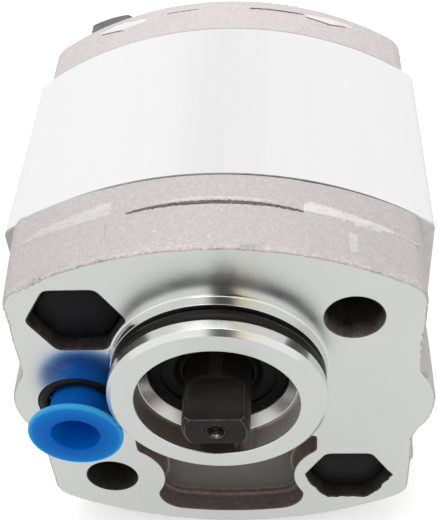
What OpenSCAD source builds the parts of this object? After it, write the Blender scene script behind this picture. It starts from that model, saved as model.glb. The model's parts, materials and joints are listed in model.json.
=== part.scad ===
// External gear pump: front cover with pilot boss, extruded body and rear cover, round a pair of
// equal gears that run in two bearing blocks. Millimetres. The origin is the pilot's axis at the
// mounting face. The shaft points to -Y, the body lies towards +Y, and +Z is up.

/* [Outline] */
// Half width of the body
body_half_w = 36.7; // [36:0.1:39]
// Corner radius of the body's profile
body_corner_r = 2; // [1:0.5:4]
// Half height of the covers and the body at the top of the arc
half_h = 38.6; // [38:0.1:41]
// Radius of the top and bottom arcs
arc_r = 60.5; // [56:0.5:66]
// Step in from the body's side to the straight sides of the front cover
front_inset = 2.7; // [2:0.1:3.5]
// Step in from the body's side to the straight sides of the rear cover
rear_inset = 1.7; // [1:0.1:3.5]
// Distance that the lobes round the ports stand out past the body's side
lobe_proud = 0.4; // [0.1:0.1:0.8]
// Corner radius of the covers
cover_corner_r = 5; // [3:0.5:7]
// Radius of the lobes that stand out round the ports
lobe_r = 14; // [13:0.5:16]
// Radius that blends a lobe into the straight side
lobe_blend_r = 6; // [4:0.5:8]
// Height of the flash line left by the casting die
flash_proud = 0.2; // [0.1:0.05:0.4]
// Width of the flash line
flash_w = 0.5; // [0.3:0.1:0.8]
// Place of the flash line along the front cover's thickness
front_flash = 0.56; // [0.4:0.01:0.7]
// Place of the flash line along the rear cover's thickness
rear_flash = 0.72; // [0.4:0.01:0.8]

/* [Lengths along the shaft] */
// Thickness of the front cover
front_t = 17; // [16:0.5:20]
// Length of the body
body_len = 42.3; // [40:0.1:60]
// Thickness of the rear cover
rear_t = 9.5; // [9:0.5:14]

/* [Pilot boss] */
// Radius of the pilot boss
pilot_r = 18.25; // [18:0.05:19]
// Height of the pilot boss over the mounting face
pilot_h = 7.8; // [7:0.1:10]
// Chamfer on the boss's front edge
pilot_chamfer = 0.85; // [0.4:0.05:1.2]
// Radius of the coupling space inside the boss
coupling_r = 13.7; // [13:0.1:14]
// Depth of the coupling space from the boss's face
coupling_depth = 4.3; // [3.5:0.1:5]
// Distance from the boss's face to its O-ring groove
groove_in = 2.7; // [1.5:0.1:3]
// Width of the O-ring groove
groove_w = 3.1; // [2.8:0.1:3.4]
// Section of the pilot O-ring
pilot_ring_d = 2.9; // [2.2:0.1:3]
// Depth of the O-ring's crest below the boss's surface
ring_below = 0.1; // [0:0.05:0.3]

/* [Bolts] */
// Distance between bolt centres, across and up
bolt_pitch = 45; // [44.5:0.1:47]
// Radius of the holes for the mounting bolts
mount_hole_r = 4.8; // [4.3:0.1:5]
// Radius of the clamp bolts
bolt_r = 4; // [3:0.1:4]
// Radius of the holes for the clamp bolts
bolt_hole_r = 4.5; // [4.2:0.1:4.8]
// Width across the flats of bolt heads and nuts
hex_af = 14; // [12:0.1:14]
// Gap between a bolt head's flats and its hexagonal pocket
pocket_gap = 0.25; // [0.2:0.05:0.5]
// Corner radius of the hexagonal pockets
pocket_corner_r = 1; // [0.4:0.1:1.2]
// Depth of the hexagonal pockets
pocket_depth = 7.4; // [6:0.1:9]
// Width of the flat circle on a hexagon's end, as a share of the width across its flats
hex_face = 0.95; // [0.9:0.01:0.98]
// Height of a bolt head
head_h = 5.3; // [4:0.1:5.5]
// Height of a nut
nut_h = 6.8; // [5:0.1:7]
// Thickness of a flat washer
washer_t = 1.6; // [1:0.1:2]
// Thickness of a spring washer
spring_washer_t = 2; // [1.6:0.1:2.4]
// Length of thread that stands out of a nut
bolt_end = 1.4; // [0.5:0.1:4]
// Turn of the nuts, as they happened to be tightened
nut_turn = 16.5; // [0:0.5:30]

/* [Cast pocket under the boss] */
// Half width of the pocket at the bottom
relief_half_w = 13.9; // [12:0.1:14.2]
// Half width of the pocket's two horns
horn_half_w = 16.5; // [15:0.1:17]
// Corner radius at the bottom of the pocket
relief_corner_r = 5; // [3:0.5:6]
// Wall left between the pocket and the bottom edge
relief_wall = 4; // [3:0.5:5]
// Face left between the pocket and the boss
relief_gap = 1.4; // [0.8:0.1:2]
// Radius of the wall left round each bolt
bolt_wall_r = 10.3; // [9:0.1:10.6]
// Depth of the pocket's upper step
relief_step = 3.4; // [2:0.1:5]
// Depth of the pocket's floor
relief_depth = 4.4; // [3.6:0.1:8]
// Width of the ledge between the two depths
relief_ledge = 0.8; // [0.5:0.1:2]

/* [Ports] */
// Distance from the outlet port's axis to the edge of its lobe
port_edge = 11.9; // [11.5:0.1:13]
// Radius of the outlet port
port_r = 5.5; // [4.5:0.1:5.8]
// Depth of the outlet port
port_depth = 13; // [11:0.5:14]
// Radius of the outlet port's O-ring recess
port_recess_r = 7.45; // [7.2:0.05:7.8]
// Depth of that recess
port_recess_depth = 1.6; // [1.4:0.1:2]
// Radius of the pressure passage
pressure_r = 3.2; // [2.5:0.1:3.5]
// Distance of the pressure passage from the middle
pressure_x = 11.5; // [11:0.1:12]
// Distance of the suction port from the middle
suction_x = 12; // [11.5:0.1:12.4]
// Radius of the suction passage in the body
suction_r = 5; // [4:0.1:5.2]
// Core radius of the suction port's thread
suction_core_r = 8.2; // [7:0.1:8.6]
// Depth of the suction port's thread
suction_depth = 12; // [10:0.5:12]
// Radius of the raised boss round the suction port
suction_boss_r = 13; // [12:0.5:14]
// Height of that boss
suction_boss_h = 5; // [4:0.5:6]

/* [Port plug] */
// Radius of the plug's flange
plug_flange_r = 8.3; // [7.8:0.1:8.3]
// Distance of the flange's face from the mounting face
plug_out = 6.6; // [5:0.1:8]
// Thickness of the flange
plug_flange_t = 1; // [0.8:0.1:1.6]
// Gap between the plug's neck and the port
plug_neck_gap = 0.25; // [0.15:0.05:0.4]
// Gap between the plug's bead and the port
plug_bead_gap = 0.05; // [0.03:0.01:0.1]
// Wall of the plug
plug_wall = 0.9; // [0.7:0.1:1.2]
// Length of plug inside the port
plug_in = 8; // [6:0.5:9]

/* [Gears and shafts] */
// Module of the teeth
gear_module = 2; // [1.98:0.01:2.02]
// Number of teeth on each gear
gear_teeth = 10; // [10:1:10]
// Pressure angle of the teeth
pressure_angle = 25; // [24:0.5:27]
// Width of the gears
gear_w = 8.4; // [6:0.1:14]
// Flank clearance on each tooth side
flank_gap = 0.04; // [0.03:0.01:0.08]
// Radius of the shafts in their bushes
shaft_r = 6; // [5:0.1:6.1]
// Distance from the mounting face to the shaft's end
shaft_out = 13; // [12:0.5:16]
// Thickness across the two flats of the drive tang
tang_t = 6.3; // [5:0.1:8]
// Length of the drive tang
tang_len = 7.3; // [6:0.1:8]
// Chamfer on the ends of the shafts
shaft_chamfer = 0.6; // [0.3:0.1:1]
// Radius of the centre hole's mouth in the shaft's end
centre_r = 1.65; // [1:0.05:2]
// Distance from a shaft's inner end to the cover
shaft_end_gap = 1; // [0.5:0.1:2]

/* [Bearings and clearances] */
// Outer radius of the bushes
bush_r = 7; // [6.8:0.1:7.5]
// Length of the bushes
bush_len = 14; // [10:0.5:15]
// Running clearance of a shaft in a bush
bush_gap = 0.03; // [0.02:0.01:0.06]
// Clearance of the tooth tips in the body
tip_gap = 0.08; // [0.04:0.01:0.1]
// Clearance of the bearing blocks in the body
block_gap = 0.05; // [0.02:0.01:0.08]
// End clearance on each side of the gears
side_gap = 0.05; // [0.03:0.01:0.1]

/* [Seals] */
// Outer radius of the shaft seal
seal_r = 12; // [11.5:0.1:12.5]
// Length of the shaft seal
seal_len = 7; // [6:0.5:8]
// Depth of the seal's seat from the mounting face
seal_seat = 6; // [5.5:0.5:7]
// Thickness of the seal's rubber cover
seal_skin = 0.8; // [0.6:0.1:1]
// Thickness of the seal's steel case
case_t = 0.6; // [0.4:0.1:0.8]
// Running clearance of the seal's lips
lip_gap = 0.05; // [0.03:0.01:0.08]
// Wire section radius of the garter spring
garter_r = 0.45; // [0.35:0.05:0.5]
// Section of the rings between body and covers
body_ring_d = 1.5; // [1.2:0.1:1.6]
// Radius of those rings round each shaft
body_ring_r = 19; // [18.8:0.1:19.2]
// Inner radius of the pressure seal's groove on a bearing block
block_seal_in = 8.6; // [8.4:0.1:8.8]
// Width of the backup strip
backup_w = 0.7; // [0.5:0.1:0.9]
// Width of the pressure seal
block_seal_w = 1.1; // [1:0.1:1.2]
// Depth of the pressure seal's groove
block_seal_depth = 2; // [1.5:0.1:2.5]

/* [Dowels] */
// Radius of the dowel pins
dowel_r = 2; // [1.5:0.1:2]
// Length of the dowel pins in each part
dowel_half = 6; // [4:0.5:7]
// Distance of the dowels from the middle
dowel_reach = 34.3; // [34:0.1:34.6]

/* [Hidden] */

$fn = 96;
eps = 0.01;
past = 1;

// Places along the shaft
body_y = front_t;
rear_y = front_t + body_len;
back_y = rear_y + rear_t;
nut_y = back_y + washer_t + spring_washer_t;
bolt_end_y = nut_y + nut_h + bolt_end;
gear_y = body_y + (body_len - gear_w) / 2;
gear_end_y = gear_y + gear_w;
block_len = gear_y - side_gap - body_y;
rear_block_y = gear_end_y + side_gap;
seal_front = seal_seat - seal_len;
inner_end_y = rear_y - shaft_end_gap;

// Half widths that follow from the body's
front_half_w = body_half_w - front_inset;
rear_half_w = body_half_w - rear_inset;
lobe_reach = body_half_w + lobe_proud;
port_x = lobe_reach - port_edge;
pocket_af = hex_af + 2 * pocket_gap;

// Gears
gear_gap = gear_module * gear_teeth;
mid_z = -gear_gap / 2;
pitch_r = gear_gap / 2;
base_r = pitch_r * cos(pressure_angle);
tip_r = pitch_r + gear_module;
root_r = pitch_r - 1.25 * gear_module;
chamber_r = tip_r + tip_gap;
block_r = chamber_r - block_gap;
flank_steps = 7;
root_rise = 0.45;
root_turn = 2;

// Bolts: two clamp bolts on one diagonal, two mounting holes on the other
half_pitch = bolt_pitch / 2;
clamp_places = [[-half_pitch, mid_z + half_pitch], [half_pitch, mid_z - half_pitch]];
mount_places = [[half_pitch, mid_z + half_pitch], [-half_pitch, mid_z - half_pitch]];
dowel_places = [[0, mid_z + dowel_reach], [0, mid_z - dowel_reach]];

// Seals
pilot_ring_y = -pilot_h + groove_in + groove_w / 2;
groove_r = pilot_r - ring_below - pilot_ring_d;
block_seal_out = block_seal_in + backup_w + block_seal_w;
seal_mouth_r = coupling_r - 0.4;
seal_lead = 2;
web_r = bush_r + 0.5;
spring_r = shaft_r + 2.2;
garter_y = seal_front + 5.2;

cast_grey = [0.80, 0.78, 0.77];
steel_grey = [0.30, 0.28, 0.27];
rubber_black = [0.07, 0.07, 0.07];

// A cylinder along Y between two places
module rod_y(r, y0, y1) {
    translate([0, y0, 0]) rotate([-90, 0, 0]) cylinder(r = r, h = y1 - y0);
}

// A flat shape drawn in X and Z, carried along Y between two places
module along_y(y0, y1) {
    translate([0, y1, 0]) rotate([90, 0, 0]) linear_extrude(height = y1 - y0) children();
}

// A profile of [radius, y] points turned round the Y axis
module turned(profile) {
    rotate([-90, 0, 0]) rotate_extrude() polygon(profile);
}

// A ring of round section about the Y axis
module o_ring(centre_r, section_r, y) {
    rotate([-90, 0, 0]) rotate_extrude() translate([centre_r, y]) circle(r = section_r, $fn = 32);
}

// Puts a part at a place given as [x, z]
module at(place) {
    translate([place[0], 0, place[1]]) children();
}

// Straight sides, arcs above and below, and round corners. A corner's circle touches the side and
// the arc, and each arc is the sector between its two corners.
module arc_box(half_w, half_h, r, corner) {
    corner_x = half_w - corner;
    drop = r - half_h;
    corner_z = sqrt(pow(r - corner, 2) - pow(corner_x, 2)) - drop;
    ray = 1.5 * r / (r - corner);
    ray_x = ray * corner_x;
    ray_z = ray * (corner_z + drop) - drop;
    for (flip = [0, 1]) mirror([0, flip]) {
        intersection() {
            translate([0, -drop]) circle(r = r, $fn = 200);
            polygon([[0, -drop], [ray_x, ray_z], [-ray_x, ray_z]]);
        }
        for (side = [-1, 1]) translate([side * corner_x, corner_z]) circle(r = corner);
    }
    translate([-half_w, -corner_z]) square([2 * half_w, 2 * corner_z]);
}

// One lobe with the blends that lead into it from the straight side at half_w
module lobe(half_w, grow) {
    lobe_x = lobe_reach - lobe_r;
    blend_x = half_w + lobe_blend_r;
    blend_z = sqrt(pow(lobe_r + lobe_blend_r, 2) - pow(blend_x - lobe_x, 2));
    translate([lobe_x, 0]) circle(r = lobe_r + grow);
    for (s = [-1, 1]) difference() {
        polygon([[lobe_x, 0], [lobe_x, s * blend_z], [blend_x, s * blend_z]]);
        translate([blend_x, s * blend_z]) circle(r = lobe_blend_r - grow);
    }
}

// Outline of a cover whose straight sides are at half_w, or of its flash line when grown
module cover_outline(half_w, grow = 0) {
    translate([0, mid_z]) {
        arc_box(half_w + grow, half_h + grow, arc_r + grow, cover_corner_r + grow);
        for (side = [0, 1]) mirror([side, 0]) lobe(half_w, grow);
    }
}

module body_outline() {
    translate([0, mid_z]) arc_box(body_half_w, half_h, arc_r, body_corner_r);
}

// The flash line, which the trimming has left standing at the top and the bottom only
module flash_line(half_w, y) {
    along_y(y - flash_w / 2, y + flash_w / 2) intersection() {
        cover_outline(half_w, flash_proud);
        translate([-half_pitch * 0.8, mid_z - 2 * half_h]) square([half_pitch * 1.6, 4 * half_h]);
    }
}

// Outline of the cast pocket between the boss, the two lower bolts and the bottom edge
module relief_outline(inset) {
    top_z = -pilot_r - relief_gap - inset;
    difference() {
        intersection() {
            union() {
                translate([0, mid_z])
                    arc_box(relief_half_w - inset, half_h - relief_wall - inset,
                            arc_r - relief_wall - inset, relief_corner_r - inset);
                translate([inset - horn_half_w, mid_z - half_pitch])
                    square([2 * (horn_half_w - inset), half_pitch]);
            }
            translate([-horn_half_w, mid_z - half_h]) square([2 * horn_half_w, top_z - mid_z + half_h]);
        }
        for (side = [-1, 1]) translate([side * half_pitch, mid_z - half_pitch])
            circle(r = bolt_wall_r + inset);
    }
}

// The two joined circles of the gear chamber
module chamber_outline(r) {
    for (z = [0, -gear_gap]) translate([0, z]) circle(r = r);
}

// Racetrack path of a body seal: half rings round the two shafts, joined by straight runs
module seal_track(half_width, y0, y1) {
    along_y(y0, y1) difference() {
        track(body_ring_r + half_width);
        track(body_ring_r - half_width);
    }
}

module track(r) {
    chamber_outline(r);
    translate([-r, -gear_gap]) square([2 * r, gear_gap]);
}

// Round-section ring along the same track
module track_ring(y) {
    section_r = body_ring_d / 2;
    for (end = [[0, 0], [-gear_gap, 180]])
        translate([0, y, end[0]]) rotate([0, end[1], 0]) rotate([90, 0, 0])
            rotate_extrude(angle = 180) translate([body_ring_r, 0]) circle(r = section_r, $fn = 24);
    for (side = [-1, 1]) translate([side * body_ring_r, y, -gear_gap])
        cylinder(r = section_r, h = gear_gap, $fn = 24);
}

// Angle of an involute flank, in degrees
function involute(a) = tan(a) * 180 / PI - a;

// Half the angle that a tooth fills at a radius
function tooth_half(r) =
    90 / gear_teeth - flank_gap / pitch_r * 180 / PI
    + involute(pressure_angle) - involute(acos(min(1, base_r / r)));

function polar(r, a) = [r * cos(a), r * sin(a)];

// Outline of one tooth about angle a: root, left flank, right flank, root
function tooth(a) = concat(
    [polar(root_r, a - tooth_half(base_r) - root_turn),
     polar(root_r + root_rise, a - tooth_half(base_r))],
    [for (i = [0:flank_steps]) let (r = base_r + (tip_r - base_r) * i / flank_steps)
        polar(r, a - tooth_half(r))],
    [for (i = [flank_steps:-1:0]) let (r = base_r + (tip_r - base_r) * i / flank_steps)
        polar(r, a + tooth_half(r))],
    [polar(root_r + root_rise, a + tooth_half(base_r)),
     polar(root_r, a + tooth_half(base_r) + root_turn)]);

module gear_outline(turn) {
    polygon([for (k = [0:gear_teeth - 1]) each tooth(turn + k * 360 / gear_teeth)]);
}

// A gear in one piece with its shaft
module gear_on_shaft(turn, shaft_start) {
    relief_r = shaft_r - 0.25;
    relief_w = 0.8;
    along_y(gear_y, gear_end_y) gear_outline(turn);
    turned([[0, shaft_start], [shaft_r - shaft_chamfer, shaft_start],
            [shaft_r, shaft_start + shaft_chamfer],
            [shaft_r, gear_y - relief_w], [relief_r, gear_y - relief_w],
            [relief_r, gear_end_y + relief_w], [shaft_r, gear_end_y + relief_w],
            [shaft_r, inner_end_y - shaft_chamfer], [shaft_r - shaft_chamfer, inner_end_y],
            [0, inner_end_y]]);
}

// A hexagon prism along Y with its corners chamfered by 30 degrees at one end or both
module hexagon(af, y0, y1, chamfer_start, chamfer_end) {
    corner_r = af / sqrt(3);
    chamfer = corner_r - hex_face * af / 2;
    rise = chamfer * tan(30);
    intersection() {
        along_y(y0, y1) circle(r = corner_r, $fn = 6);
        turned([[0, y0], [corner_r - (chamfer_start ? chamfer : 0), y0],
                [corner_r + eps, y0 + rise], [corner_r + eps, y1 - rise],
                [corner_r - (chamfer_end ? chamfer : 0), y1], [0, y1]]);
    }
}

// A hexagon with round corners: its core, one strip for each side and one circle for each corner
module soft_hexagon(af, corner) {
    core = (af / 2 - corner) / cos(30);
    circle(r = core, $fn = 6);
    for (k = [0:5]) rotate(60 * k) {
        translate([core, 0]) circle(r = corner);
        rotate(30) translate([0, -core / 2]) square([af / 2, core]);
    }
}

module front_cover() {
    color(cast_grey) difference() {
        union() {
            along_y(0, front_t) cover_outline(front_half_w);
            flash_line(front_half_w, front_t * front_flash);
            turned([[0, past], [pilot_r, past], [pilot_r, -pilot_h + pilot_chamfer],
                    [pilot_r - pilot_chamfer, -pilot_h], [0, -pilot_h]]);
        }
        turned([[0, -pilot_h - past], [coupling_r, -pilot_h - past],
                [coupling_r, coupling_depth - pilot_h], [seal_mouth_r, coupling_depth - pilot_h],
                [seal_r, coupling_depth - pilot_h + seal_lead], [seal_r, seal_seat],
                [web_r, seal_seat], [web_r, front_t + past], [0, front_t + past]]);
        turned([[groove_r, groove_in - pilot_h], [pilot_r + past, groove_in - pilot_h],
                [pilot_r + past, groove_in + groove_w - pilot_h],
                [groove_r, groove_in + groove_w - pilot_h]]);
        for (place = clamp_places) at(place) {
            along_y(-past, pocket_depth) soft_hexagon(pocket_af, pocket_corner_r);
            rod_y(bolt_hole_r, 0, front_t + past);
        }
        for (place = mount_places) at(place) rod_y(mount_hole_r, -past, front_t + past);
        for (place = dowel_places) at(place) rod_y(dowel_r, front_t - dowel_half, front_t + past);
        along_y(-past, relief_step) relief_outline(0);
        along_y(0, relief_depth) relief_outline(relief_ledge);
        at([-port_x, mid_z]) {
            rod_y(port_recess_r, -past, port_recess_depth);
            rod_y(port_r, -past, port_depth);
        }
        pressure_drilling();
    }
}

// Slanted drilling from the bottom of the outlet port to the body's pressure passage
module pressure_drilling() {
    start_y = port_depth - port_r;
    run_x = port_x - pressure_x;
    run_y = front_t - start_y;
    slant = atan2(run_x, run_y);
    translate([-port_x, start_y, mid_z]) rotate([0, 0, -slant])
        rod_y(pressure_r, 0, norm([run_x, run_y]) + 3 * past);
}

module pump_body() {
    color([0.93, 0.93, 0.93]) difference() {
        along_y(body_y, rear_y) body_outline();
        along_y(body_y - past, rear_y + past) chamber_outline(chamber_r);
        at([-pressure_x, mid_z]) rod_y(pressure_r, body_y - past, gear_end_y);
        at([suction_x, mid_z]) rod_y(suction_r, gear_y, rear_y + past);
        for (place = clamp_places) at(place) rod_y(bolt_hole_r, body_y - past, rear_y + past);
        for (place = mount_places) at(place) rod_y(mount_hole_r, body_y - past, rear_y + past);
        for (place = dowel_places) at(place) {
            rod_y(dowel_r, body_y - past, body_y + dowel_half);
            rod_y(dowel_r, rear_y - dowel_half, rear_y + past);
        }
        seal_track(body_ring_d * 0.65, body_y - past, body_y + body_ring_d);
        seal_track(body_ring_d * 0.65, rear_y - body_ring_d, rear_y + past);
    }
}

module rear_cover() {
    color(cast_grey) difference() {
        union() {
            along_y(rear_y, back_y) cover_outline(rear_half_w);
            flash_line(rear_half_w, rear_y + rear_t * rear_flash);
            at([suction_x, mid_z]) rod_y(suction_boss_r, back_y - past, back_y + suction_boss_h);
        }
        at([suction_x, mid_z]) {
            rod_y(suction_r, rear_y - past, back_y);
            rod_y(suction_core_r, back_y + suction_boss_h - suction_depth,
                  back_y + suction_boss_h + past);
        }
        for (place = clamp_places) at(place) rod_y(bolt_hole_r, rear_y - past, back_y + past);
        for (place = mount_places) at(place) rod_y(mount_hole_r, rear_y - past, back_y + past);
        for (place = dowel_places) at(place) rod_y(dowel_r, rear_y - past, rear_y + dowel_half);
    }
}

// The lathe's centre hole: a wide cone, a narrow drilling and its pointed end
module centre_hole() {
    drill_r = centre_r * 0.45;
    cone_end = -shaft_out + centre_r * 1.2;
    drill_end = cone_end + centre_r;
    turned([[0, -shaft_out - eps], [centre_r, -shaft_out - eps], [drill_r, cone_end],
            [drill_r, drill_end], [0, drill_end + drill_r]]);
}

// The drive shaft: a tooth points straight down into a gap of the driven gear, and the two flats
// of its tang lie level
module drive_gear_shaft() {
    color(steel_grey) difference() {
        gear_on_shaft(90, -shaft_out);
        for (side = [0, 1]) mirror([0, 0, side])
            translate([-shaft_r - past, -shaft_out - past, tang_t / 2])
                cube([2 * (shaft_r + past), tang_len + past, shaft_r]);
        centre_hole();
    }
}

module driven_gear_shaft() {
    color(steel_grey) translate([0, 0, -gear_gap])
        gear_on_shaft(90 + 180 / gear_teeth, body_y + shaft_end_gap);
}

// Outline of a bearing block: two circles, notched at the waist for the passages
module block_outline() {
    notch_gap = 0.8;
    difference() {
        chamber_outline(block_r);
        translate([-pressure_x, mid_z]) circle(r = pressure_r + notch_gap);
        translate([suction_x, mid_z]) circle(r = suction_r + notch_gap);
        for (z = [0, -gear_gap]) translate([0, z]) circle(r = bush_r);
    }
}

// The pressure seal's path: a ring round each shaft, open towards the suction side
module seal_path(r_in, r_out) {
    open_x = 3;
    for (z = [0, -gear_gap]) intersection() {
        translate([0, z]) difference() {
            circle(r = r_out);
            circle(r = r_in);
        }
        translate([-2 * block_r, -2 * gear_gap]) square([2 * block_r + open_x, 4 * gear_gap]);
    }
}

// A bearing block with its seal groove, and the two pockets at the mesh that free trapped oil
module bearing_block(y0, groove_y0, groove_y1, gear_side_y) {
    oil_pocket = [2.6, 1.6, 4];
    oil_pocket_x = 4;
    color([0.72, 0.71, 0.70]) difference() {
        along_y(y0, y0 + block_len) block_outline();
        along_y(groove_y0, groove_y1) seal_path(block_seal_in, block_seal_out);
        for (side = [-1, 1])
            translate([side * oil_pocket_x, gear_side_y, mid_z]) cube(oil_pocket, center = true);
    }
}

module front_bearing_block() {
    bearing_block(body_y, body_y - past, body_y + block_seal_depth, body_y + block_len);
}

module rear_bearing_block() {
    bearing_block(rear_block_y, rear_y - block_seal_depth, rear_y + past, rear_block_y);
}

// A lined bush of one shaft
module bush(y0, z) {
    bore_r = shaft_r + bush_gap;
    color([0.62, 0.47, 0.30]) translate([0, 0, z])
        turned([[bore_r, y0], [bush_r, y0], [bush_r, y0 + bush_len], [bore_r, y0 + bush_len]]);
}

// The rubber of the shaft seal: skin, dust lip and spring-loaded main lip
module shaft_seal() {
    lip_r = shaft_r + lip_gap;
    front = seal_front;
    web_y = front + seal_skin + case_t;
    lip_y = garter_y - 0.3;
    lip_end = garter_y + 0.7;
    edge = 0.4;
    hollow = 0.7;
    heel_r = spring_r - 0.8;
    groove_r0 = seal_r - 2.6;
    groove_r1 = seal_r - 2;
    groove_depth = 0.3;
    color(rubber_black) difference() {
        turned([[heel_r + 0.2, front], [seal_r - edge, front], [seal_r, front + edge],
                [seal_r, seal_seat], [seal_r - seal_skin, seal_seat],
                [seal_r - seal_skin, front + seal_skin], [spring_r, front + seal_skin],
                [spring_r, web_y], [heel_r, front + 2.4], [heel_r, garter_y - 1],
                [spring_r, garter_y - hollow], [spring_r, lip_end],
                [lip_r + 0.85, lip_end], [lip_r, lip_y + 0.1], [lip_r, lip_y - 0.1],
                [lip_r + hollow, front + 3.2], [lip_r + hollow, front + 1.6],
                [lip_r, front + 0.2], [lip_r, front], [lip_r + 0.25, front],
                [lip_r + 0.9, front + 0.55]]);
        o_ring(spring_r, garter_r, garter_y);
        turned([[groove_r0, front - past], [groove_r1, front - past],
                [groove_r1, front + groove_depth], [groove_r0, front + groove_depth]]);
    }
}

// The steel ring that stiffens the seal
module seal_case() {
    outer = seal_r - seal_skin;
    y0 = seal_front + seal_skin;
    y1 = seal_seat - 0.4;
    color([0.6, 0.6, 0.6])
        turned([[outer, y0], [outer, y1], [outer - case_t, y1], [outer - case_t, y0 + case_t],
                [spring_r, y0 + case_t], [spring_r, y0]]);
}

module garter_spring() {
    color([0.7, 0.7, 0.7]) o_ring(spring_r, garter_r, garter_y);
}

module pilot_o_ring() {
    color(rubber_black) o_ring(groove_r + pilot_ring_d / 2, pilot_ring_d / 2, pilot_ring_y);
}

module port_o_ring() {
    section_r = (port_recess_r - port_r) / 2;
    color(rubber_black) at([-port_x, mid_z])
        o_ring(port_r + section_r, section_r, port_recess_depth - section_r);
}

module front_body_seal() {
    color(rubber_black) track_ring(body_y + body_ring_d / 2);
}

module rear_body_seal() {
    color(rubber_black) track_ring(rear_y - body_ring_d / 2);
}

module front_block_seal() {
    color(rubber_black) along_y(body_y, body_y + block_seal_depth)
        seal_path(block_seal_in + backup_w, block_seal_out);
}

module rear_block_seal() {
    color(rubber_black) along_y(rear_y - block_seal_depth, rear_y)
        seal_path(block_seal_in + backup_w, block_seal_out);
}

module front_backup_strips() {
    color([0.9, 0.88, 0.8]) along_y(body_y, body_y + block_seal_depth)
        seal_path(block_seal_in, block_seal_in + backup_w);
}

module rear_backup_strips() {
    color([0.9, 0.88, 0.8]) along_y(rear_y - block_seal_depth, rear_y)
        seal_path(block_seal_in, block_seal_in + backup_w);
}

// Dowel pins between the body and a cover
module dowels(joint_y) {
    color([0.5, 0.5, 0.5]) for (place = dowel_places) at(place)
        rod_y(dowel_r, joint_y - dowel_half, joint_y + dowel_half);
}

module clamp_bolts() {
    seat_y = pocket_depth;
    point = 0.8;
    color(steel_grey) for (place = clamp_places) at(place) {
        hexagon(hex_af, seat_y - head_h, seat_y, true, false);
        turned([[0, seat_y - past], [bolt_r, seat_y - past], [bolt_r, bolt_end_y - point],
                [bolt_r - point, bolt_end_y], [0, bolt_end_y]]);
    }
}

module flat_washers() {
    inner = bolt_r + 0.2;
    outer = 2 * bolt_r;
    color([0.55, 0.55, 0.55]) for (place = clamp_places) at(place)
        turned([[inner, back_y], [outer, back_y], [outer, back_y + washer_t],
                [inner, back_y + washer_t]]);
}

// A split ring under each nut
module spring_washers() {
    y0 = back_y + washer_t;
    inner = bolt_r + 0.1;
    outer = bolt_r + 3.4;
    split_w = 1;
    split_turn = 35;
    color([0.45, 0.45, 0.45]) for (place = clamp_places) at(place) difference() {
        turned([[inner, y0], [outer, y0], [outer, nut_y], [inner, nut_y]]);
        rotate([0, split_turn, 0]) translate([0, y0 - past, -split_w / 2])
            cube([outer + past, spring_washer_t + 2 * past, split_w]);
    }
}

module clamp_nuts() {
    color(steel_grey) for (place = clamp_places) at(place) difference() {
        rotate([0, -nut_turn, 0]) hexagon(hex_af, nut_y, nut_y + nut_h, true, true);
        rod_y(bolt_r, nut_y - past, nut_y + nut_h + past);
    }
}

// The hollow shipping plug: flange, neck, a bead that grips the port, and a closed end
module port_plug() {
    neck_r = port_r - plug_neck_gap;
    bead_r = port_r - plug_bead_gap;
    hollow_r = neck_r - plug_wall;
    front = -plug_out;
    flange_end = front + plug_flange_t;
    edge = 0.2;
    blend = 0.4;
    bead_start = plug_in * 0.35;
    bead_end = plug_in * 0.55;
    floor_y = plug_in - plug_wall - edge;
    color([0.10, 0.40, 0.75]) at([-port_x, mid_z])
        turned([[hollow_r, front], [plug_flange_r - edge, front], [plug_flange_r, front + edge],
                [plug_flange_r, flange_end - edge], [plug_flange_r - edge, flange_end],
                [neck_r + blend, flange_end], [neck_r, flange_end + blend],
                [neck_r, bead_start], [bead_r, bead_start + edge], [bead_r, bead_end],
                [neck_r - blend, plug_in - 1.5 * blend], [neck_r - 2.5 * blend, plug_in],
                [0, plug_in], [0, floor_y], [hollow_r - edge, floor_y]]);
}

front_cover();
pump_body();
rear_cover();
drive_gear_shaft();
driven_gear_shaft();
front_bearing_block();
rear_bearing_block();
bush(gear_y - side_gap - bush_len, 0);  // front_drive_bush
bush(gear_y - side_gap - bush_len, -gear_gap);  // front_driven_bush
bush(rear_block_y, 0);  // rear_drive_bush
bush(rear_block_y, -gear_gap);  // rear_driven_bush
shaft_seal();
seal_case();
garter_spring();
pilot_o_ring();
port_o_ring();
front_body_seal();
rear_body_seal();
front_block_seal();
rear_block_seal();
front_backup_strips();
rear_backup_strips();
dowels(body_y);  // front_dowels
dowels(rear_y);  // rear_dowels
clamp_bolts();
flat_washers();
spring_washers();
clamp_nuts();
port_plug();
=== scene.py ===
import json
import bmesh
import bpy
import numpy as np
from mathutils import Matrix, Vector
from mathutils.geometry import delaunay_2d_cdt

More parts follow.
